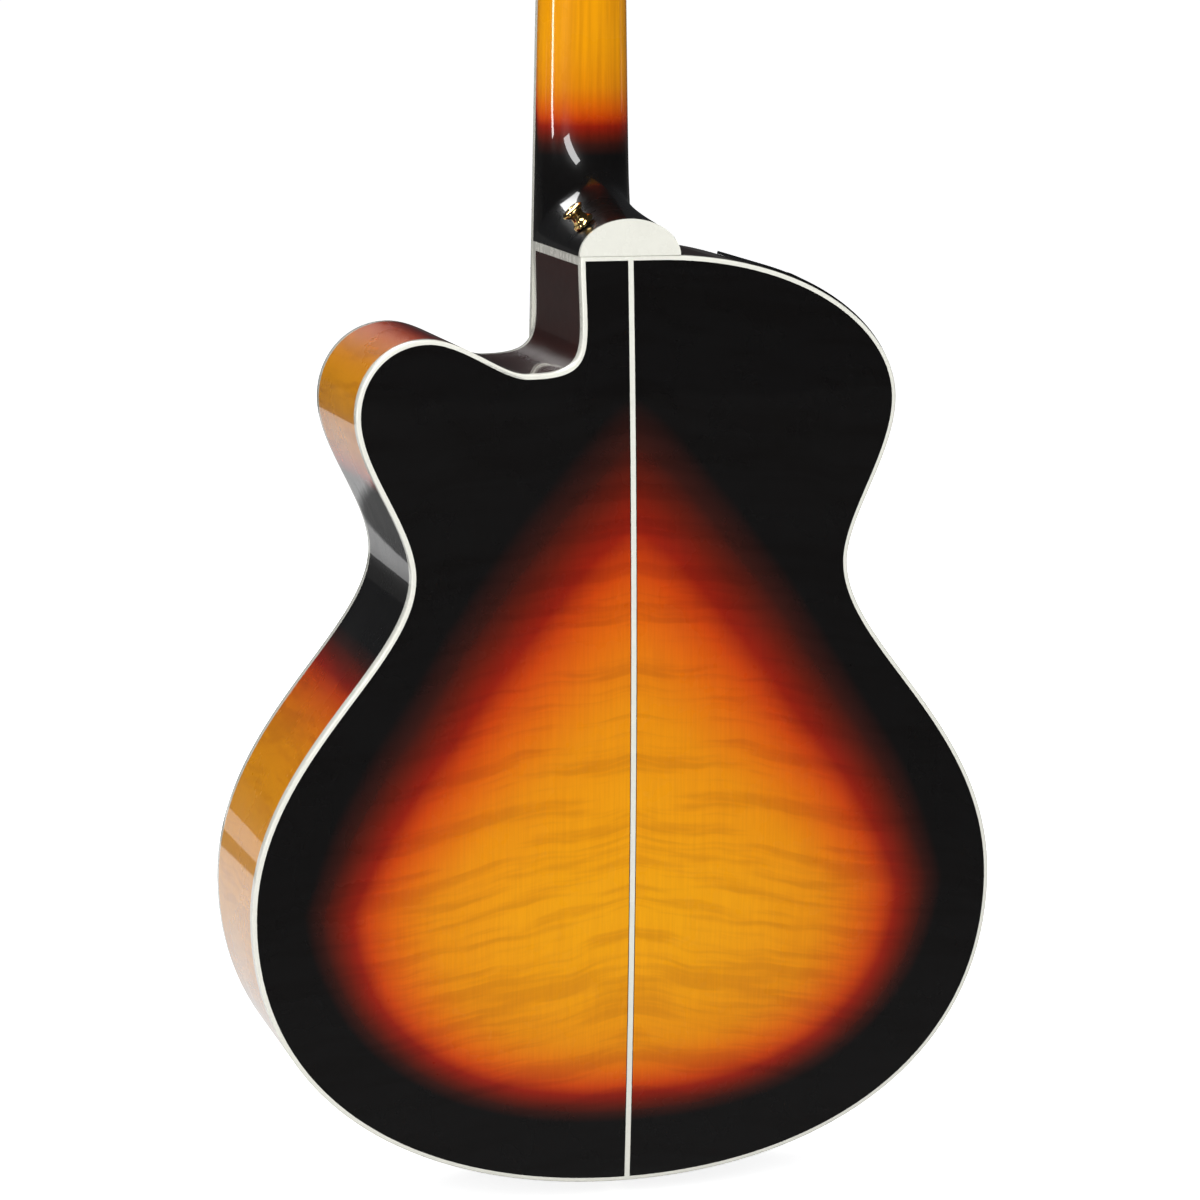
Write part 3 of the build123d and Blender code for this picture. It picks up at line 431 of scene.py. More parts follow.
# ---------------------------------------------------------------- body skin
def bound_ring(name, from_back, steps, rounding):
    """Binding strip round the whole body with its outer corner rounded."""
    p, n = whole_loop(steps)
    arc = [math.radians(a) for a in (0, 22.5, 45, 67.5, 90)]
    profile = [(0.0, BINDING_H)]
    profile += [(rounding * (1 - math.cos(a)), rounding * (1 - math.sin(a))) for a in arc]
    profile += [(BINDING_W, 0.0), (BINDING_W, BINDING_H)]
    rails = [lifted(p, n, inset, level, from_back) for inset, level in profile]
    return swept(name, rails, True, 40.0)


def side_strip(name, start, end, steps, extra=(), window=None):
    """Rib between the bindings, from one station of the outline to another."""
    p, n = stations(start, end, steps, extra)
    rows = [BINDING_H, 12.0, MODULE_Y[0], 30.0, 45.0, 60.0, 75.0, MODULE_Y[1]]
    sheets = []
    for inset in (0.0, RIB_T):
        columns = [lifted(p, n, inset, y, False) for y in rows]
        edge = lifted(p, n, inset, BINDING_H, True)
        middle = (columns[-1] + edge) / 2
        sheets.append(np.stack(columns + [middle, edge], axis=1))
    hole = None
    if window:
        x = sheets[0][:, 0, 0]
        low, high = (bezier_run(SHOULDER, [t])[0][0, 0] for t in window)
        inside = (x[:-1] > low - 0.01) & (x[1:] < high + 0.01) & (sheets[0][:-1, 0, 2] > BODY_TOP - 90)
        hole = np.zeros((len(p) - 1, len(rows) + 1), bool)
        hole[np.ix_(inside, np.arange(2, 7))] = True
    return shell(name, sheets[0], sheets[1], hole)


def back_plate(name, treble, steps):
    """Half of the arched back: straight lines fanned from the centre strip to the inset outline."""
    if treble:
        p, n = stations((0, t_where(0, 1, BODY_TOP - 4.0)), (TAIL_SPAN, 1.0), steps)
        edge = p + n * BINDING_W
        flat_x = np.linspace(STRIP_HALF, 28.0 - BINDING_W, 8)
        flat = np.stack([flat_x, np.full_like(flat_x, BODY_TOP - BINDING_W)], axis=1)
        edge = np.concatenate([flat, edge])
        key_x = [0, 1, 2, 3, 4, 5, 6]
        key_z = [-10.0, -78.0, -100.0, -126.0, -190.0, -362.0, -520.5]
        counts = len(flat_x)
        place = np.concatenate([np.linspace(-1, 0, counts, endpoint=False), np.linspace(0, 6, len(p))])
        centre_z = np.interp(place, [-1] + key_x, [-BINDING_W] + key_z) + BODY_TOP
        edge[:, 0] = np.maximum(edge[:, 0], STRIP_HALF)
        side = STRIP_HALF
    else:
        p, n = stations((TAIL_SPAN + 1, 0.0), (SHOULDER, 1.0), steps)
        edge = p + n * BINDING_W
        flat_x = np.linspace(-15.5, -STRIP_HALF, 6)[1:]
        flat = np.stack([flat_x, np.full_like(flat_x, BODY_TOP - BINDING_W)], axis=1)
        edge = np.concatenate([edge, flat])
        along = np.linspace(0, 1, len(edge))
        low = BODY_TOP - 520.5 + BINDING_W
        even = low + (BODY_TOP - BINDING_W - low) * along
        centre_z = 0.7 * edge[:, 1] + 0.3 * even
        edge[:, 0] = np.minimum(edge[:, 0], -STRIP_HALF)
        side = -STRIP_HALF
    centre_z = np.clip(centre_z, BODY_TOP - 520.5 + BINDING_W, BODY_TOP - BINDING_W)
    share = np.linspace(0, 1, 26)[None, :]
    x = side + (edge[:, :1] - side) * share
    z = centre_z[:, None] + (edge[:, 1:] - centre_z[:, None]) * share
    y = dome_y(x, z)
    outer = np.stack([x, y, z], axis=-1)
    inner = np.stack([x, y - BACK_T, z], axis=-1)
    return shell(name, outer, inner)


def centre_strip(steps=160):
    """Inlaid strip down the middle of the back, following its arch."""
    z = np.linspace(BODY_TOP - BINDING_W, BODY_TOP - 520.5 + BINDING_W, steps)
    x = np.linspace(-STRIP_HALF, STRIP_HALF, 7)
    grid_x, grid_z = np.meshgrid(x, z)
    y = dome_y(grid_x, grid_z)
    outer = np.stack([grid_x, y, grid_z], axis=-1)
    inner = np.stack([grid_x, y - BACK_T, grid_z], axis=-1)
    return shell("back_inlay", outer, inner)


# ---------------------------------------------------------------- node helpers
class Nodes:
    """Short way to add and link shader nodes in one tree."""

    def __init__(self, tree):
        self.tree = tree

    def add(self, kind, **settings):
        node = self.tree.nodes.new(kind)
        for key, value in settings.items():
            setattr(node, key, value)
        return node

    def put(self, socket, value):
        if isinstance(value, bpy.types.NodeSocket):
            self.tree.links.new(value, socket)
        elif value is not None:
            socket.default_value = value

    def math(self, operation, a, b=None, c=None, clamp=False):
        node = self.add("ShaderNodeMath", operation=operation, use_clamp=clamp)
        for socket, value in zip(node.inputs, (a, b, c)):
            self.put(socket, value)
        return node.outputs[0]

    def mix(self, factor, a, b, blend="MIX"):
        node = self.add("ShaderNodeMix", data_type="RGBA", blend_type=blend)
        self.put(node.inputs["Factor"], factor)
        self.put(node.inputs[6], a)
        self.put(node.inputs[7], b)
        return node.outputs[2]

    def spread(self, value, low, high, to_low, to_high, smooth=True):
        node = self.add("ShaderNodeMapRange", interpolation_type="SMOOTHSTEP" if smooth else "LINEAR")
        for socket, item in zip(node.inputs, (value, low, high, to_low, to_high)):
            self.put(socket, item)
        return node.outputs[0]

    def noise(self, vector, scale, detail=3.0, roughness=0.5, distortion=0.0):
        node = self.add("ShaderNodeTexNoise")
        self.put(node.inputs["Vector"], vector)
        self.put(node.inputs["Scale"], scale)
        self.put(node.inputs["Detail"], detail)
        self.put(node.inputs["Roughness"], roughness)
        self.put(node.inputs["Distortion"], distortion)
        return node.outputs["Fac"]

    def ramp(self, value, stops):
        node = self.add("ShaderNodeValToRGB")
        ramp = node.color_ramp
        while len(ramp.elements) < len(stops):
            ramp.elements.new(0.5)
        for element, (place, colour) in zip(ramp.elements, stops):
            element.position = place
            element.color = (*colour[:3], 1.0)
        self.put(node.inputs[0], value)
        return node.outputs[0]

    def xyz(self, vector):
        node = self.add("ShaderNodeSeparateXYZ")
        self.put(node.inputs[0], vector)
        return node.outputs

    def scaled(self, items, factors):
        """Vector of three values, each multiplied by its own factor."""
        return self.vector(*[self.math("MULTIPLY", item, factor) for item, factor in zip(items, factors)])

    def vector(self, x, y, z):
        node = self.add("ShaderNodeCombineXYZ")
        for socket, value in zip(node.inputs, (x, y, z)):
            self.put(socket, value)
        return node.outputs[0]


def group(name, inputs, outputs):
    """Empty shader node group with named sockets, and its Nodes, input and output nodes."""
    tree = bpy.data.node_groups.new(name, "ShaderNodeTree")
    for label, kind, default in inputs:
        socket = tree.interface.new_socket(label, in_out="INPUT", socket_type=kind)
        if default is not None:
            socket.default_value = default
    for label, kind in outputs:
        tree.interface.new_socket(label, in_out="OUTPUT", socket_type=kind)
    nodes = Nodes(tree)
    return tree, nodes, nodes.add("NodeGroupInput"), nodes.add("NodeGroupOutput")


VALUE, COLOUR, VECTOR = "NodeSocketFloat", "NodeSocketColor", "NodeSocketVector"


def flame_group(pitch):
    """Book-matched flame figure: soft bands across the grain, mirrored about the centre line."""
    tree, n, start, end = group(
        "FlameFigure", [("Position", VECTOR, None), ("Strength", VALUE, 0.3)],
        [("Shade", VALUE), ("Grain", VALUE)])
    x, y, z = n.xyz(start.outputs["Position"])
    side = n.math("ABSOLUTE", x)
    drift = n.noise(n.scaled((side, y, z), (9.0, 9.0, 5.0)), 1.0, 3.0)
    bend = n.math("MULTIPLY", n.math("SUBTRACT", drift, 0.5), 0.030)
    lean = n.math("MULTIPLY", side, 0.16)
    height = n.math("ADD", n.math("ADD", z, bend), lean)
    bands = n.noise(n.scaled((side, y, height), (7.0, 7.0, 1.0 / pitch)), 1.0, 2.0, 0.45, 0.15)
    fine = n.noise(n.scaled((side, y, height), (22.0, 22.0, 3.4 / pitch)), 1.0, 2.0, 0.5, 0.15)
    mixed = n.math("ADD", n.math("MULTIPLY", bands, 0.5), n.math("MULTIPLY", fine, 0.5))
    dark = n.spread(mixed, 0.38, 0.56, 1.0, 0.0)
    shade = n.math("SUBTRACT", 1.0, n.math("MULTIPLY", dark, start.outputs["Strength"]))
    grain = n.noise(n.scaled((x, y, z), (900.0, 900.0, 28.0)), 1.0, 3.0, 0.6)
    n.put(end.inputs["Shade"], shade)
    n.put(end.inputs["Grain"], n.spread(grain, 0.3, 0.7, 0.93, 1.0))
    return tree


def burst_group(colours):
    """Sunburst colours from amber at 0 over orange and red to black from about 1.35."""
    tree, n, start, end = group("SunburstColours", [("Level", VALUE, 0.0)], [("Color", COLOUR)])
    chosen = (colours.amber, colours.orange, colours.red, colours.black)
    amber, orange, red, black = (tuple(colour) for colour in chosen)
    gold_mid = tuple(0.5 * a + 0.5 * o for a, o in zip(amber, orange))
    scale = 1 / 1.7
    stops = [
        (0.0, amber), (0.28 * scale, tuple(0.96 * a * f for a, f in zip(amber, (1, 0.9, 0.6)))),
        (0.52 * scale, (gold_mid[0], gold_mid[1] * 1.05, gold_mid[2])), (0.76 * scale, orange),
        (0.90 * scale, (0.53, 0.050, 0.0)), (1.00 * scale, red), (1.12 * scale, (0.115, 0.008, 0.002)),
        (1.22 * scale, (0.035, 0.0065, 0.004)), (1.34 * scale, black),
    ]
    level = n.math("MULTIPLY", start.outputs["Level"], scale, clamp=True)
    n.put(end.inputs["Color"], n.ramp(level, stops))
    return tree


def peel_group():
    """Faint long waves left in a polished lacquer, as a height, with rare dust nibs."""
    tree, n, start, end = group(
        "LacquerWaves", [("Position", VECTOR, None)], [("Height", VALUE), ("Haze", VALUE)])
    waves = n.noise(start.outputs["Position"], 55.0, 2.0, 0.4)
    fine = n.noise(start.outputs["Position"], 420.0, 1.0, 0.4)
    n.put(end.inputs["Height"], n.math("ADD", n.math("MULTIPLY", waves, 1.0), n.math("MULTIPLY", fine, 0.05)))
    haze = n.noise(start.outputs["Position"], 18.0, 4.0, 0.6)
    n.put(end.inputs["Haze"], n.spread(haze, 0.35, 0.75, 0.0, 1.0))
    return tree


def grain_group():
    """Straight wood grain along the neck: long streaks, pores and slow colour drift."""
    tree, n, start, end = group("LongGrain", [("Position", VECTOR, None), ("Fineness", VALUE, 1.0)], [
        ("Streak", VALUE), ("Pore", VALUE)])
    x, y, z = n.xyz(start.outputs["Position"])
    fine = start.outputs["Fineness"]
    bend = n.math("MULTIPLY", n.noise(n.vector(x, y, n.math("MULTIPLY", z, 0.3)), 9.0, 2.0), 0.02)
    across = n.math("ADD", x, bend)
    streak_at = n.vector(
        n.math("MULTIPLY", n.math("MULTIPLY", across, 420.0), fine),
        n.math("MULTIPLY", n.math("MULTIPLY", y, 420.0), fine), n.math("MULTIPLY", z, 9.0))
    pore_at = n.vector(
        n.math("MULTIPLY", n.math("MULTIPLY", across, 1700.0), fine),
        n.math("MULTIPLY", n.math("MULTIPLY", y, 1700.0), fine), n.math("MULTIPLY", z, 90.0))
    n.put(end.inputs["Streak"], n.noise(streak_at, 1.0, 4.0, 0.6, 0.1))
    n.put(end.inputs["Pore"], n.spread(n.noise(pore_at, 1.0, 2.0, 0.5), 0.58, 0.72, 0.0, 1.0))
    return tree


def wear_group():
    """Tiny scuffs and smudges that vary the polish of a surface."""
    tree, n, start, end = group("Scuffs", [("Position", VECTOR, None), ("Scale", VALUE, 1.0)], [
        ("Mask", VALUE), ("Height", VALUE)])
    spots = n.noise(start.outputs["Position"], n.math("MULTIPLY", start.outputs["Scale"], 90.0), 5.0, 0.65)
    fine = n.noise(start.outputs["Position"], n.math("MULTIPLY", start.outputs["Scale"], 900.0), 2.0, 0.6)
    n.put(end.inputs["Mask"], n.spread(spots, 0.35, 0.8, 0.0, 1.0))
    n.put(end.inputs["Height"], fine)
    return tree


class Finish:
    """One material: Principled shader, object coordinates and the shared groups."""

    def __init__(self, name, **settings):
        self.material = bpy.data.materials.new(name)
        self.material.use_nodes = True
        self.n = Nodes(self.material.node_tree)
        self.shader = self.material.node_tree.nodes["Principled BSDF"]
        self.place = self.n.add("ShaderNodeTexCoord").outputs["Object"]
        for key, value in settings.items():
            self.shader.inputs[key.replace("_", " ")].default_value = value

    def use(self, tree, **inputs):
        node = self.n.add("ShaderNodeGroup", node_tree=tree)
        for key, value in inputs.items():
            self.n.put(node.inputs[key], value)
        return node.outputs

    def colour(self, value):
        self.n.put(self.shader.inputs["Base Color"], value)

    def rough(self, value):
        self.n.put(self.shader.inputs["Roughness"], value)

    def bump(self, height, strength, distance, coat=False):
        node = self.n.add("ShaderNodeBump")
        node.inputs["Strength"].default_value = strength
        node.inputs["Distance"].default_value = distance
        self.n.put(node.inputs["Height"], height)
        self.n.put(self.shader.inputs["Normal"], node.outputs[0])
        if coat:
            self.n.put(self.shader.inputs["Coat Normal"], node.outputs[0])


def lacquered(name, groups, level, flame=0.3, figure=True):
    """Sunburst lacquer over figured wood, under a clear polished coat."""
    f = Finish(
        name, Roughness=0.30, Coat_Weight=1.0, Coat_Roughness=0.015, Coat_IOR=1.5, Specular_IOR_Level=0.15)
    colour = f.use(groups["burst"], Level=level(f))["Color"]
    if figure:
        wood = f.use(groups["flame"], Position=f.place, Strength=flame)
        shade = f.n.math("MULTIPLY", wood["Shade"], wood["Grain"])
    else:
        wood = f.use(groups["grain"], Position=f.place, Fineness=1.0)
        shade = f.n.spread(wood["Streak"], 0.25, 0.75, 0.80, 1.0)
    tint = f.n.vector(shade, f.n.math("POWER", shade, 1.35), f.n.math("POWER", shade, 1.6))
    f.colour(f.n.mix(1.0, colour, tint, "MULTIPLY"))
    waves = f.use(groups["peel"], Position=f.place)
    f.rough(f.n.spread(waves["Haze"], 0.0, 1.0, 0.26, 0.34))
    f.bump(waves["Height"], 0.06, 0.0006, coat=True)
    return f.material


BURST_MIDDLE = -0.712
BURST_HALF = 0.157
BURST_UP = 0.207
BURST_DOWN = 0.114
LOWER_BOUT_HALF = 0.128
UPPER_BOUT_Z = -0.436
UPPER_BOUT_HALF = 0.050
UPPER_BOUT_X = 0.153
UPPER_BOUT_WIDE = 0.085
TOP_OVALS = [
    # middle along Z, half width, half height
    (-0.705, 0.212, 0.172),
    (-0.452, 0.150, 0.098),
    (-0.580, 0.122, 0.200),
]


def back_level(f):
    """Teardrop on the back: wide power curve across, straight towards the neck, round at the tail."""
    n = f.n
    x, _, z = n.xyz(f.place)
    wobble = n.math("MULTIPLY", n.math("SUBTRACT", n.noise(f.place, 14.0, 2.0), 0.5), 0.05)
    drop = n.math("SUBTRACT", z, BURST_MIDDLE)
    bend = n.spread(drop, -0.10, 0.13, 2.2, 1.28)
    across = n.math("POWER", n.math("DIVIDE", n.math("ABSOLUTE", x), BURST_HALF), bend)
    up = n.math("DIVIDE", n.math("MAXIMUM", drop, 0.0), BURST_UP)
    below = n.math("MAXIMUM", n.math("MULTIPLY", drop, -1.0), 0.0)
    down = n.math("POWER", n.math("DIVIDE", below, BURST_DOWN), 2.2)
    return n.math("ADD", n.math("ADD", n.math("ADD", across, up), down), wobble)


def side_level(f):
    """Bursts on the ribs: one round the lower bout, one round the upper bout, black between."""
    n = f.n
    x, _, z = n.xyz(f.place)
    away = n.math("ABSOLUTE", n.math("SUBTRACT", z, BURST_MIDDLE))
    low = n.math("POWER", n.math("DIVIDE", away, LOWER_BOUT_HALF), 2.2)
    horn_z = n.math("DIVIDE", n.math("SUBTRACT", z, UPPER_BOUT_Z), UPPER_BOUT_HALF)
    horn_x = n.math("DIVIDE", n.math("SUBTRACT", n.math("ABSOLUTE", x), UPPER_BOUT_X), UPPER_BOUT_WIDE)
    squares = [n.math("POWER", n.math("ABSOLUTE", part), 2.0) for part in (horn_z, horn_x)]
    horn = n.math("ADD", *squares)
    horn = n.math("ADD", n.math("MINIMUM", horn, 1.0), 0.12)
    horn = n.math("MULTIPLY", horn, n.spread(z, -0.48, -0.50, 1.0, 3.0))
    return n.math("ADD", n.math("MINIMUM", low, horn), 0.10)


def neck_level(f):
    """Amber neck that burns to red and black at the heel and behind the nut, and darker along its edges by
    the fingerboard, partly burst and partly painted shade.
    """
    n = f.n
    _, y, z = n.xyz(f.place)
    heel = n.spread(z, -0.238, -0.338, 0.0, 1.5)
    heel = n.math("MAXIMUM", heel, n.spread(y, 0.024, 0.040, 0.0, 1.5))
    head = n.spread(z, -0.045, 0.012, 0.0, 1.5)
    # Darker along both edges next to the fingerboard: partly burst colour, partly painted shade.
    rim_burst_and_shade = n.math("MULTIPLY", n.spread(y, 0.006, 0.0, 0.0, 1.0), 0.18)
    return n.math("ADD", n.math("ADD", n.math("MAXIMUM", heel, head), rim_burst_and_shade), 0.16)


def top_level(f):
    """Burst on the soundboard: the nearer of three ovals that follow the outline."""
    n = f.n
    x, _, z = n.xyz(f.place)
    level = None
    for middle, wide, tall in TOP_OVALS:
        a = n.math("POWER", n.math("ABSOLUTE", n.math("DIVIDE", x, wide)), 2.0)
        b = n.math("POWER", n.math("ABSOLUTE", n.math("DIVIDE", n.math("SUBTRACT", z, middle), tall)), 2.0)
        oval = n.math("MULTIPLY", n.math("POWER", n.math("ADD", a, b), 1.15), 1.35)
        if level is None:
            level = oval
        else:
            level = n.math("SMOOTH_MIN", level, oval, 0.35)
    return level


def plain_finish(name, groups, colour, rough, metallic=0.0, vary=0.06, bump=0.03, **settings):
    """Plastic, bone, pearl or plated metal with smudges and fine tooling marks."""
    f = Finish(name, Metallic=metallic, **settings)
    wear = f.use(groups["wear"], Position=f.place, Scale=1.0)
    darker = tuple(c * (1 - vary) for c in colour)
    f.colour(f.n.mix(wear["Mask"], (*colour, 1.0), (*darker, 1.0)))
    f.rough(f.n.spread(wear["Mask"], 0.0, 1.0, rough, rough * 1.5 + 0.02))
    f.bump(wear["Height"], bump, 0.0002)
    return f.material


def raw_wood(name, groups, light, dark, rough=0.6, fineness=1.0, coat=0.0):
    """Unfigured wood with streaks and pores along the grain."""
    f = Finish(name, Coat_Weight=coat, Coat_Roughness=0.08)
    wood = f.use(groups["grain"], Position=f.place, Fineness=fineness)
    colour = f.n.mix(f.n.spread(wood["Streak"], 0.3, 0.7, 0.0, 1.0), (*dark, 1.0), (*light, 1.0))
    colour = f.n.mix(f.n.math("MULTIPLY", wood["Pore"], 0.55), colour, (*[c * 0.45 for c in dark], 1.0))
    f.colour(colour)
    f.rough(f.n.spread(wood["Streak"], 0.3, 0.7, rough + 0.08, rough - 0.08))
    f.bump(f.n.math("SUBTRACT", wood["Streak"], wood["Pore"]), 0.25, 0.0002)
    return f.material


def inlay_finish(groups, ivory):
    """Centre strip: ivory with a thin dark line along each edge."""
    f = Finish("ivory_and_black_strip", Coat_Weight=1.0, Coat_Roughness=0.015)
    x = f.n.xyz(f.place)[0]
    line = f.n.spread(f.n.math("ABSOLUTE", x), 0.00142, 0.00152, 0.0, 1.0)
    wear = f.use(groups["wear"], Position=f.place, Scale=1.0)
    pale = f.n.mix(wear["Mask"], (*ivory, 1.0), (*[c * 0.95 for c in ivory], 1.0))
    f.colour(f.n.mix(line, pale, (0.006, 0.006, 0.006, 1.0)))
    f.rough(f.n.spread(wear["Mask"], 0.0, 1.0, 0.25, 0.35))
    waves = f.use(groups["peel"], Position=f.place)
    f.bump(waves["Height"], 0.06, 0.0006, coat=True)
    return f.material


def wound_finish(groups):
    """Bronze strings with the close ridges of their winding."""
    f = Finish("wound_bronze", Metallic=1.0)
    z = f.n.xyz(f.place)[2]
    turn = f.n.math("SINE", f.n.math("MULTIPLY", z, 2 * math.pi / 0.00028))
    wear = f.use(groups["wear"], Position=f.place, Scale=2.0)
    f.colour(f.n.mix(wear["Mask"], (0.72, 0.44, 0.20, 1.0), (0.50, 0.30, 0.14, 1.0)))
    f.rough(f.n.spread(wear["Mask"], 0.0, 1.0, 0.25, 0.42))
    f.bump(turn, 0.5, 0.00005)
    return f.material


MATERIALS = {}


def make_materials():
    """Builds every group and material once, from the user's colours."""
    colours = bpy.context.scene.guitar_colours
    sizes = bpy.context.scene.guitar_sizes
    groups = {
        "flame": flame_group(sizes.flame_pitch),
        "burst": burst_group(colours),
        "peel": peel_group(),
        "grain": grain_group(),
        "wear": wear_group(),
    }
    ivory, gold = tuple(colours.ivory), tuple(colours.gold)
    clear = {"Coat_Weight": 1.0, "Coat_Roughness": 0.02}
    MATERIALS.update({
        "back": lacquered("flame_maple_back", groups, back_level, 0.17),
        "side": lacquered("flame_maple_side", groups, side_level, 0.15),
        "neck": lacquered("burst_neck", groups, neck_level, 0.0, figure=False),
        "top": lacquered("burst_spruce", groups, top_level, 0.0, figure=False),
        "ivory": plain_finish("ivory_binding", groups, ivory, 0.22, vary=0.05, **clear),
        "strip": inlay_finish(groups, ivory),
        "bone": plain_finish("bone", groups, (0.80, 0.74, 0.60), 0.35),
        "pearl": plain_finish("pearl", groups, (0.80, 0.84, 0.82), 0.18, vary=0.35, Coat_Weight=1.0),
        "black": plain_finish("black_gloss", groups, (0.006, 0.006, 0.006), 0.12, **clear),
        "satin": plain_finish("black_satin", groups, (0.012, 0.012, 0.013), 0.38, bump=0.12),
        "gold": plain_finish("gold_plate", groups, gold, 0.14, 1.0, 0.12),
        "steel": plain_finish("nickel_steel", groups, (0.62, 0.61, 0.58), 0.22, 1.0, 0.1),
        "strings": wound_finish(groups),
        "rosewood": raw_wood("rosewood", groups, (0.085, 0.036, 0.022), (0.030, 0.013, 0.009), 0.42),
        "spruce": raw_wood("spruce_inside", groups, (0.66, 0.45, 0.24), (0.50, 0.31, 0.15), 0.7),
        "mahogany": raw_wood("mahogany_inside", groups, (0.32, 0.13, 0.06), (0.20, 0.075, 0.035), 0.7),
        "maple": raw_wood("maple_plate", groups, (0.62, 0.46, 0.27), (0.50, 0.36, 0.20), 0.65),
    })


NODE_FINISH = {
    "soundboard": "top", "top_inlays": "ivory", "bridge": "rosewood", "saddle": "bone", "bridge_pins": "bone",
    "pickguard": "black", "x_brace": "spruce", "top_braces": "spruce", "back_braces": "spruce",
    "back_reinforcement": "spruce", "bridge_plate": "maple", "linings": "mahogany", "neck_block": "mahogany",
    "tail_block": "mahogany", "fingerboard": "rosewood", "fingerboard_binding": "ivory", "frets": "steel",
    "fret_markers": "pearl", "nut": "bone", "truss_rod": "steel", "truss_rod_cover": "black",
    "neck_bolts": "steel", "headstock_screws": "gold", "tuner_housings": "gold", "tuner_bushings": "gold",
    "strings": "strings", "strap_button_tail": "gold", "preamp_panel": "black", "preamp_module": "satin",
    "battery_door": "black", "battery": "steel", "preamp_push_button": "satin", "heel_cap": "ivory",
    "cutaway_end_strip": "ivory", "tail_strip": "ivory",
}


def placed(piece, finish, slot, *nodes):
    """Finish, body and the CAD nodes that a new skin piece stands for; the slot is not used."""
    piece.data.materials.append(MATERIALS[finish])
    piece.data.materials.append(MATERIALS["maple" if finish in ("back", "side") else finish])
    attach(piece, "root")
    if nodes:
        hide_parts(*nodes)
    return piece


# ---------------------------------------------------------------- operators
class GUITAR_OT_finishes(bpy.types.Operator):
    """Dress every carried-over part of the guitar in its own material"""
    bl_idname = "guitar.finishes"
    bl_label = "Finishes"

    def execute(self, context):
        make_materials()
        for name, thing in NODES.items():
            finish = NODE_FINISH.get(name)
            if finish is None and name.startswith(("tuner_post", "tuner_button")):
                finish = "gold"
            elif finish is None and name.startswith("preamp_knob"):
                finish = "satin"
            if finish:
                for slot in thing.material_slots:
                    slot.material = MATERIALS[finish]
        return {"FINISHED"}


class GUITAR_OT_back(bpy.types.Operator):
    """Build the two arched back plates and the centre strip"""
    bl_idname = "guitar.back"
    bl_label = "Back plates"

    def execute(self, context):
        steps = context.scene.guitar_sizes.outline_steps
        placed(back_plate("back_plate_treble", True, steps), "back", "flame_maple_burst", "back_treble")
        placed(back_plate("back_plate_bass", False, steps), "back", "flame_maple_burst", "back_bass")
        placed(centre_strip(), "strip", "ivory_plastic", "back_centre_strip")
        return {"FINISHED"}


class GUITAR_OT_sides(bpy.types.Operator):
    """Build the bent ribs, with the opening for the preamp"""
    bl_idname = "guitar.sides"
    bl_label = "Ribs"

    def execute(self, context):
        steps = context.scene.guitar_sizes.outline_steps
        tail_t = t_where(TAIL_SPAN, 0, TAIL_HALF)
        after_tail = t_where(TAIL_SPAN + 1, 0, -TAIL_HALF)
        strip_t = t_where(0, 1, BODY_TOP - END_STRIP)
        end = side_strip("end_strip", (0, 0.0), (0, strip_t), 6)
        placed(end, "ivory", "ivory_plastic", "cutaway_end_strip")
        treble = side_strip("rib_skin_treble", (0, strip_t), (TAIL_SPAN, tail_t), steps)
        placed(treble, "side", "flame_maple_burst", "rib_treble")
        extra = [(SHOULDER, t) for t in MODULE]
        bass = side_strip(
            "rib_skin_bass", (TAIL_SPAN + 1, after_tail), (SHOULDER, 1.0), steps, extra, MODULE)
        placed(bass, "side", "flame_maple_burst", "rib_bass")
        return {"FINISHED"}


class GUITAR_OT_bindings(bpy.types.Operator):
    """Build the ivory bindings round both edges of the body"""
    bl_idname = "guitar.bindings"
    bl_label = "Bindings"

    def execute(self, context):
        sizes = context.scene.guitar_sizes
        rounding = sizes.binding_round / MM
        for side, from_back in (("top", False), ("back", True)):
            ring = bound_ring(f"binding_strip_{side}", from_back, sizes.outline_steps, rounding)
            placed(ring, "ivory", "ivory_plastic", f"binding_{side}")
        return {"FINISHED"}


class GUITAR_OT_neck(bpy.types.Operator):
    """Build the neck with its heel and headstock, the headstock face and the side dots"""
    bl_idname = "guitar.neck"
    bl_label = "Neck"

    def execute(self, context):
        placed(build_neck(), "neck", "gloss_neck", "neck")
        placed(build_veneer(), "black", "black_plastic", "headstock_veneer")
        for number, (fret, lift) in enumerate(SIDE_DOTS, 1):
            z = (fret_z(fret) + fret_z(fret - 1)) / 2 + lift
            half = NUT_HALF + (JOINT_HALF - NUT_HALF) * z / BODY_TOP
            dot = turned(f"side_dot_{number}", DOT_PROFILE, (-half, -3.0, z), (-1, 0, 0), 24)
            placed(dot, "satin", "black_plastic")
        return {"FINISHED"}


class GUITAR_OT_strap_button(bpy.types.Operator):
    """Turn the strap button on the heel"""
    bl_idname = "guitar.strap_button"
    bl_label = "Strap button"

    def execute(self, context):
        button = turned("strap_button", STRAP_PROFILE, STRAP_AT, STRAP_WAY)
        placed(button, "gold", "gold", "strap_button_heel")
        return {"FINISHED"}


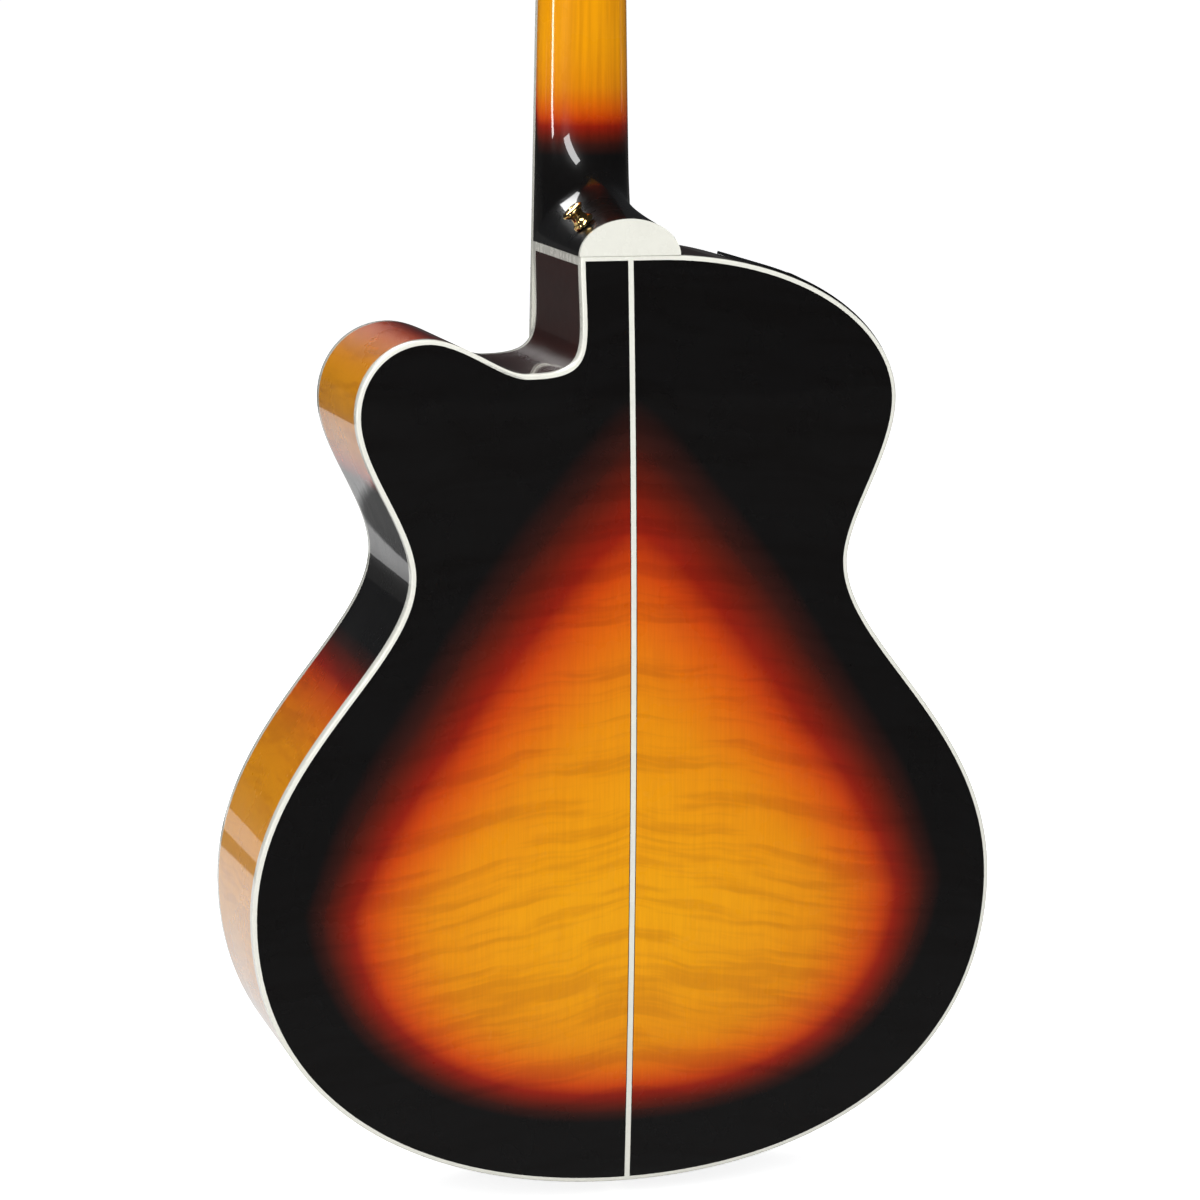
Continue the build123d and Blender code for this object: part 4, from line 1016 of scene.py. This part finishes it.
class GUITAR_OT_stage(bpy.types.Operator):
    """Set the floor, the soft lights, the world and the camera"""
    bl_idname = "guitar.stage"
    bl_label = "Studio"

    def execute(self, context):
        scene = context.scene
        scene.view_settings.view_transform = "Standard"
        size = scene.guitar_sizes.floor_size
        low = CAD_BOX[0][2] - 0.0005
        half = size / 2
        mesh = bpy.data.meshes.new("studio_floor")
        corners = [(x * half, y * half, low) for x, y in ((-1, -1), (1, -1), (1, 1), (-1, 1))]
        mesh.from_pydata(corners, [], [(0, 1, 2, 3)])
        floor = bpy.data.objects.new("studio_floor", mesh)
        scene.collection.objects.link(floor)
        mesh.materials.append(self.floor_paint())
        self.world(scene)
        for name, at, wide, tall, power, aim, mirrored in LIGHTS:
            self.lamp(scene, name, at, wide, tall, power, aim, mirrored)
        self.camera(scene)
        return {"FINISHED"}

    @staticmethod
    def floor_paint():
        """Even white to the camera; to reflections it glows in painted reflection bands, dark behind the
        guitar and pale in stretches before it.
        """
        paint = Finish("pale_floor", Roughness=0.9)
        n = paint.n
        paint.colour((0.80, 0.80, 0.80, 1.0))
        path = n.add("ShaderNodeLightPath")
        paint.shader.inputs["Emission Color"].default_value = (1, 1, 1, 1)
        glow = n.math("MULTIPLY", path.outputs["Is Camera Ray"], 0.84)
        n.put(paint.shader.inputs["Emission Strength"], glow)
        # Glossy rays see the floor glow in bands along Y: painted reflections from a floor that is no lamp.
        y = n.xyz(paint.place)[1]
        place = n.math("DIVIDE", n.math("ADD", y, 3.0), 4.0, clamp=True)
        reflection_band = n.ramp(place, [((at + 3.0) / 4.0, (level,) * 3) for at, level in FLOOR_REFLECTION_BANDS])
        mirror = n.add("ShaderNodeEmission")
        n.put(mirror.inputs["Color"], reflection_band)
        mirror.inputs["Strength"].default_value = 2.4
        blend = n.add("ShaderNodeMixShader")
        n.put(blend.inputs[0], path.outputs["Is Glossy Ray"])
        n.put(blend.inputs[1], paint.shader.outputs[0])
        n.put(blend.inputs[2], mirror.outputs[0])
        n.put(paint.material.node_tree.nodes["Material Output"].inputs[0], blend.outputs[0])
        return paint.material

    @staticmethod
    def world(scene):
        """Pale to the camera, dim to diffuse light and nearly black to reflections."""
        world = bpy.data.worlds.new("studio_world")
        scene.world = world
        world.use_nodes = True
        n = Nodes(world.node_tree)
        shown = world.node_tree.nodes["Background"]
        shown.inputs["Color"].default_value = (1, 1, 1, 1)
        shown.inputs["Strength"].default_value = 1.0
        dim = n.add("ShaderNodeBackground")
        dim.inputs["Color"].default_value = (0.92, 0.95, 1.0, 1)
        path = n.add("ShaderNodeLightPath")
        n.put(dim.inputs["Strength"], n.spread(path.outputs["Is Glossy Ray"], 0.0, 1.0, 0.27, 0.025))
        blend = n.add("ShaderNodeMixShader")
        n.put(blend.inputs[0], path.outputs["Is Camera Ray"])
        n.put(blend.inputs[1], dim.outputs[0])
        n.put(blend.inputs[2], shown.outputs[0])
        n.put(world.node_tree.nodes["World Output"].inputs[0], blend.outputs[0])

    @staticmethod
    def lamp(scene, name, at, wide, tall, power, aim, mirrored):
        """Soft rectangular light turned towards a point."""
        data = bpy.data.lights.new(name, "AREA")
        data.shape = "RECTANGLE"
        data.size, data.size_y, data.energy = wide, tall, power
        lamp = bpy.data.objects.new(name, data)
        lamp.location = at
        lamp.rotation_euler = (Vector(aim) - Vector(at)).to_track_quat("-Z", "Y").to_euler()
        lamp.visible_camera = False
        lamp.visible_glossy = mirrored
        scene.collection.objects.link(lamp)

    @staticmethod
    def camera(scene):
        """Camera behind the guitar, to its treble side and a little above."""
        data = bpy.data.cameras.new("studio_camera")
        data.lens = CAMERA_LENS
        data.clip_end = 100.0
        camera = bpy.data.objects.new("studio_camera", data)
        right, up = Vector(CAMERA_RIGHT), Vector(CAMERA_UP)
        back = right.cross(up)
        turn = Matrix((right, up, back)).transposed().to_4x4()
        camera.matrix_world = Matrix.Translation(Vector(CAMERA_AT)) @ turn
        scene.collection.objects.link(camera)
        scene.camera = camera


CAMERA_LENS = 124.47
CAMERA_AT = (0.6129, 2.2695, -0.1573)
CAMERA_RIGHT = (-0.96428, 0.26484, 0.00486)
CAMERA_UP = (-0.04054, -0.16571, 0.98534)
FLOOR_REFLECTION_BANDS = [
    # distance along Y, brightness of the painted reflection glow seen in reflections
    (-3.0, 0.02), (-2.65, 0.02), (-2.60, 0.22), (-1.50, 0.24), (-1.46, 0.03), (-1.12, 0.03), (-1.08, 0.28),
    (-0.12, 0.34), (0.15, 0.05), (0.9, 0.02),
]
LIGHTS = [
    # name, place, width, height, power, aim, seen in reflections
    ("key_box", (1.5, 2.6, 1.3), 0.9, 2.6, 86.0, (0, 0, -0.5), True),
    ("fill_box", (-2.4, 1.8, 0.6), 0.5, 2.4, 16.0, (0, 0, -0.5), False),
    ("neck_strip", (2.1, 0.95, -0.36), 0.25, 0.30, 4.0, (0, 0.05, -0.3), True),
    ("front_box", (0.5, -2.6, 1.4), 1.8, 1.4, 50.0, (0, 0, -0.5), True),
    ("overhead_box", (0.0, 0.2, 2.4), 2.0, 2.0, 46.0, (0, 0, -0.5), False),
]

OPERATORS = (
    GUITAR_OT_finishes, GUITAR_OT_back, GUITAR_OT_sides, GUITAR_OT_bindings, GUITAR_OT_neck,
    GUITAR_OT_strap_button, GUITAR_OT_stage,
)


class GUITAR_PT_panel(bpy.types.Panel):
    """Sizes, colours and build steps of the guitar"""
    bl_idname = "GUITAR_PT_panel"
    bl_label = "Guitar"
    bl_space_type = "VIEW_3D"
    bl_region_type = "UI"
    bl_category = "Guitar"

    def draw(self, context):
        for settings in (context.scene.guitar_sizes, context.scene.guitar_colours):
            box = self.layout.box()
            for key in settings.__annotations__:
                box.prop(settings, key)
        for operator in OPERATORS:
            self.layout.operator(operator.bl_idname)


CLASSES = (GuitarSizes, GuitarColours, *OPERATORS, GUITAR_PT_panel)


def register():
    for item in CLASSES:
        bpy.utils.register_class(item)
    bpy.types.Scene.guitar_sizes = bpy.props.PointerProperty(type=GuitarSizes)
    bpy.types.Scene.guitar_colours = bpy.props.PointerProperty(type=GuitarColours)


def unregister():
    del bpy.types.Scene.guitar_colours
    del bpy.types.Scene.guitar_sizes
    for item in reversed(CLASSES):
        bpy.utils.unregister_class(item)


def main():
    """Runs every build step in order."""
    register()
    for operator in OPERATORS:
        space, name = operator.bl_idname.split(".")
        if getattr(getattr(bpy.ops, space), name)() != {"FINISHED"}:
            raise RuntimeError(f"{operator.bl_idname} did not finish")


if __name__ == "__main__":
    main()
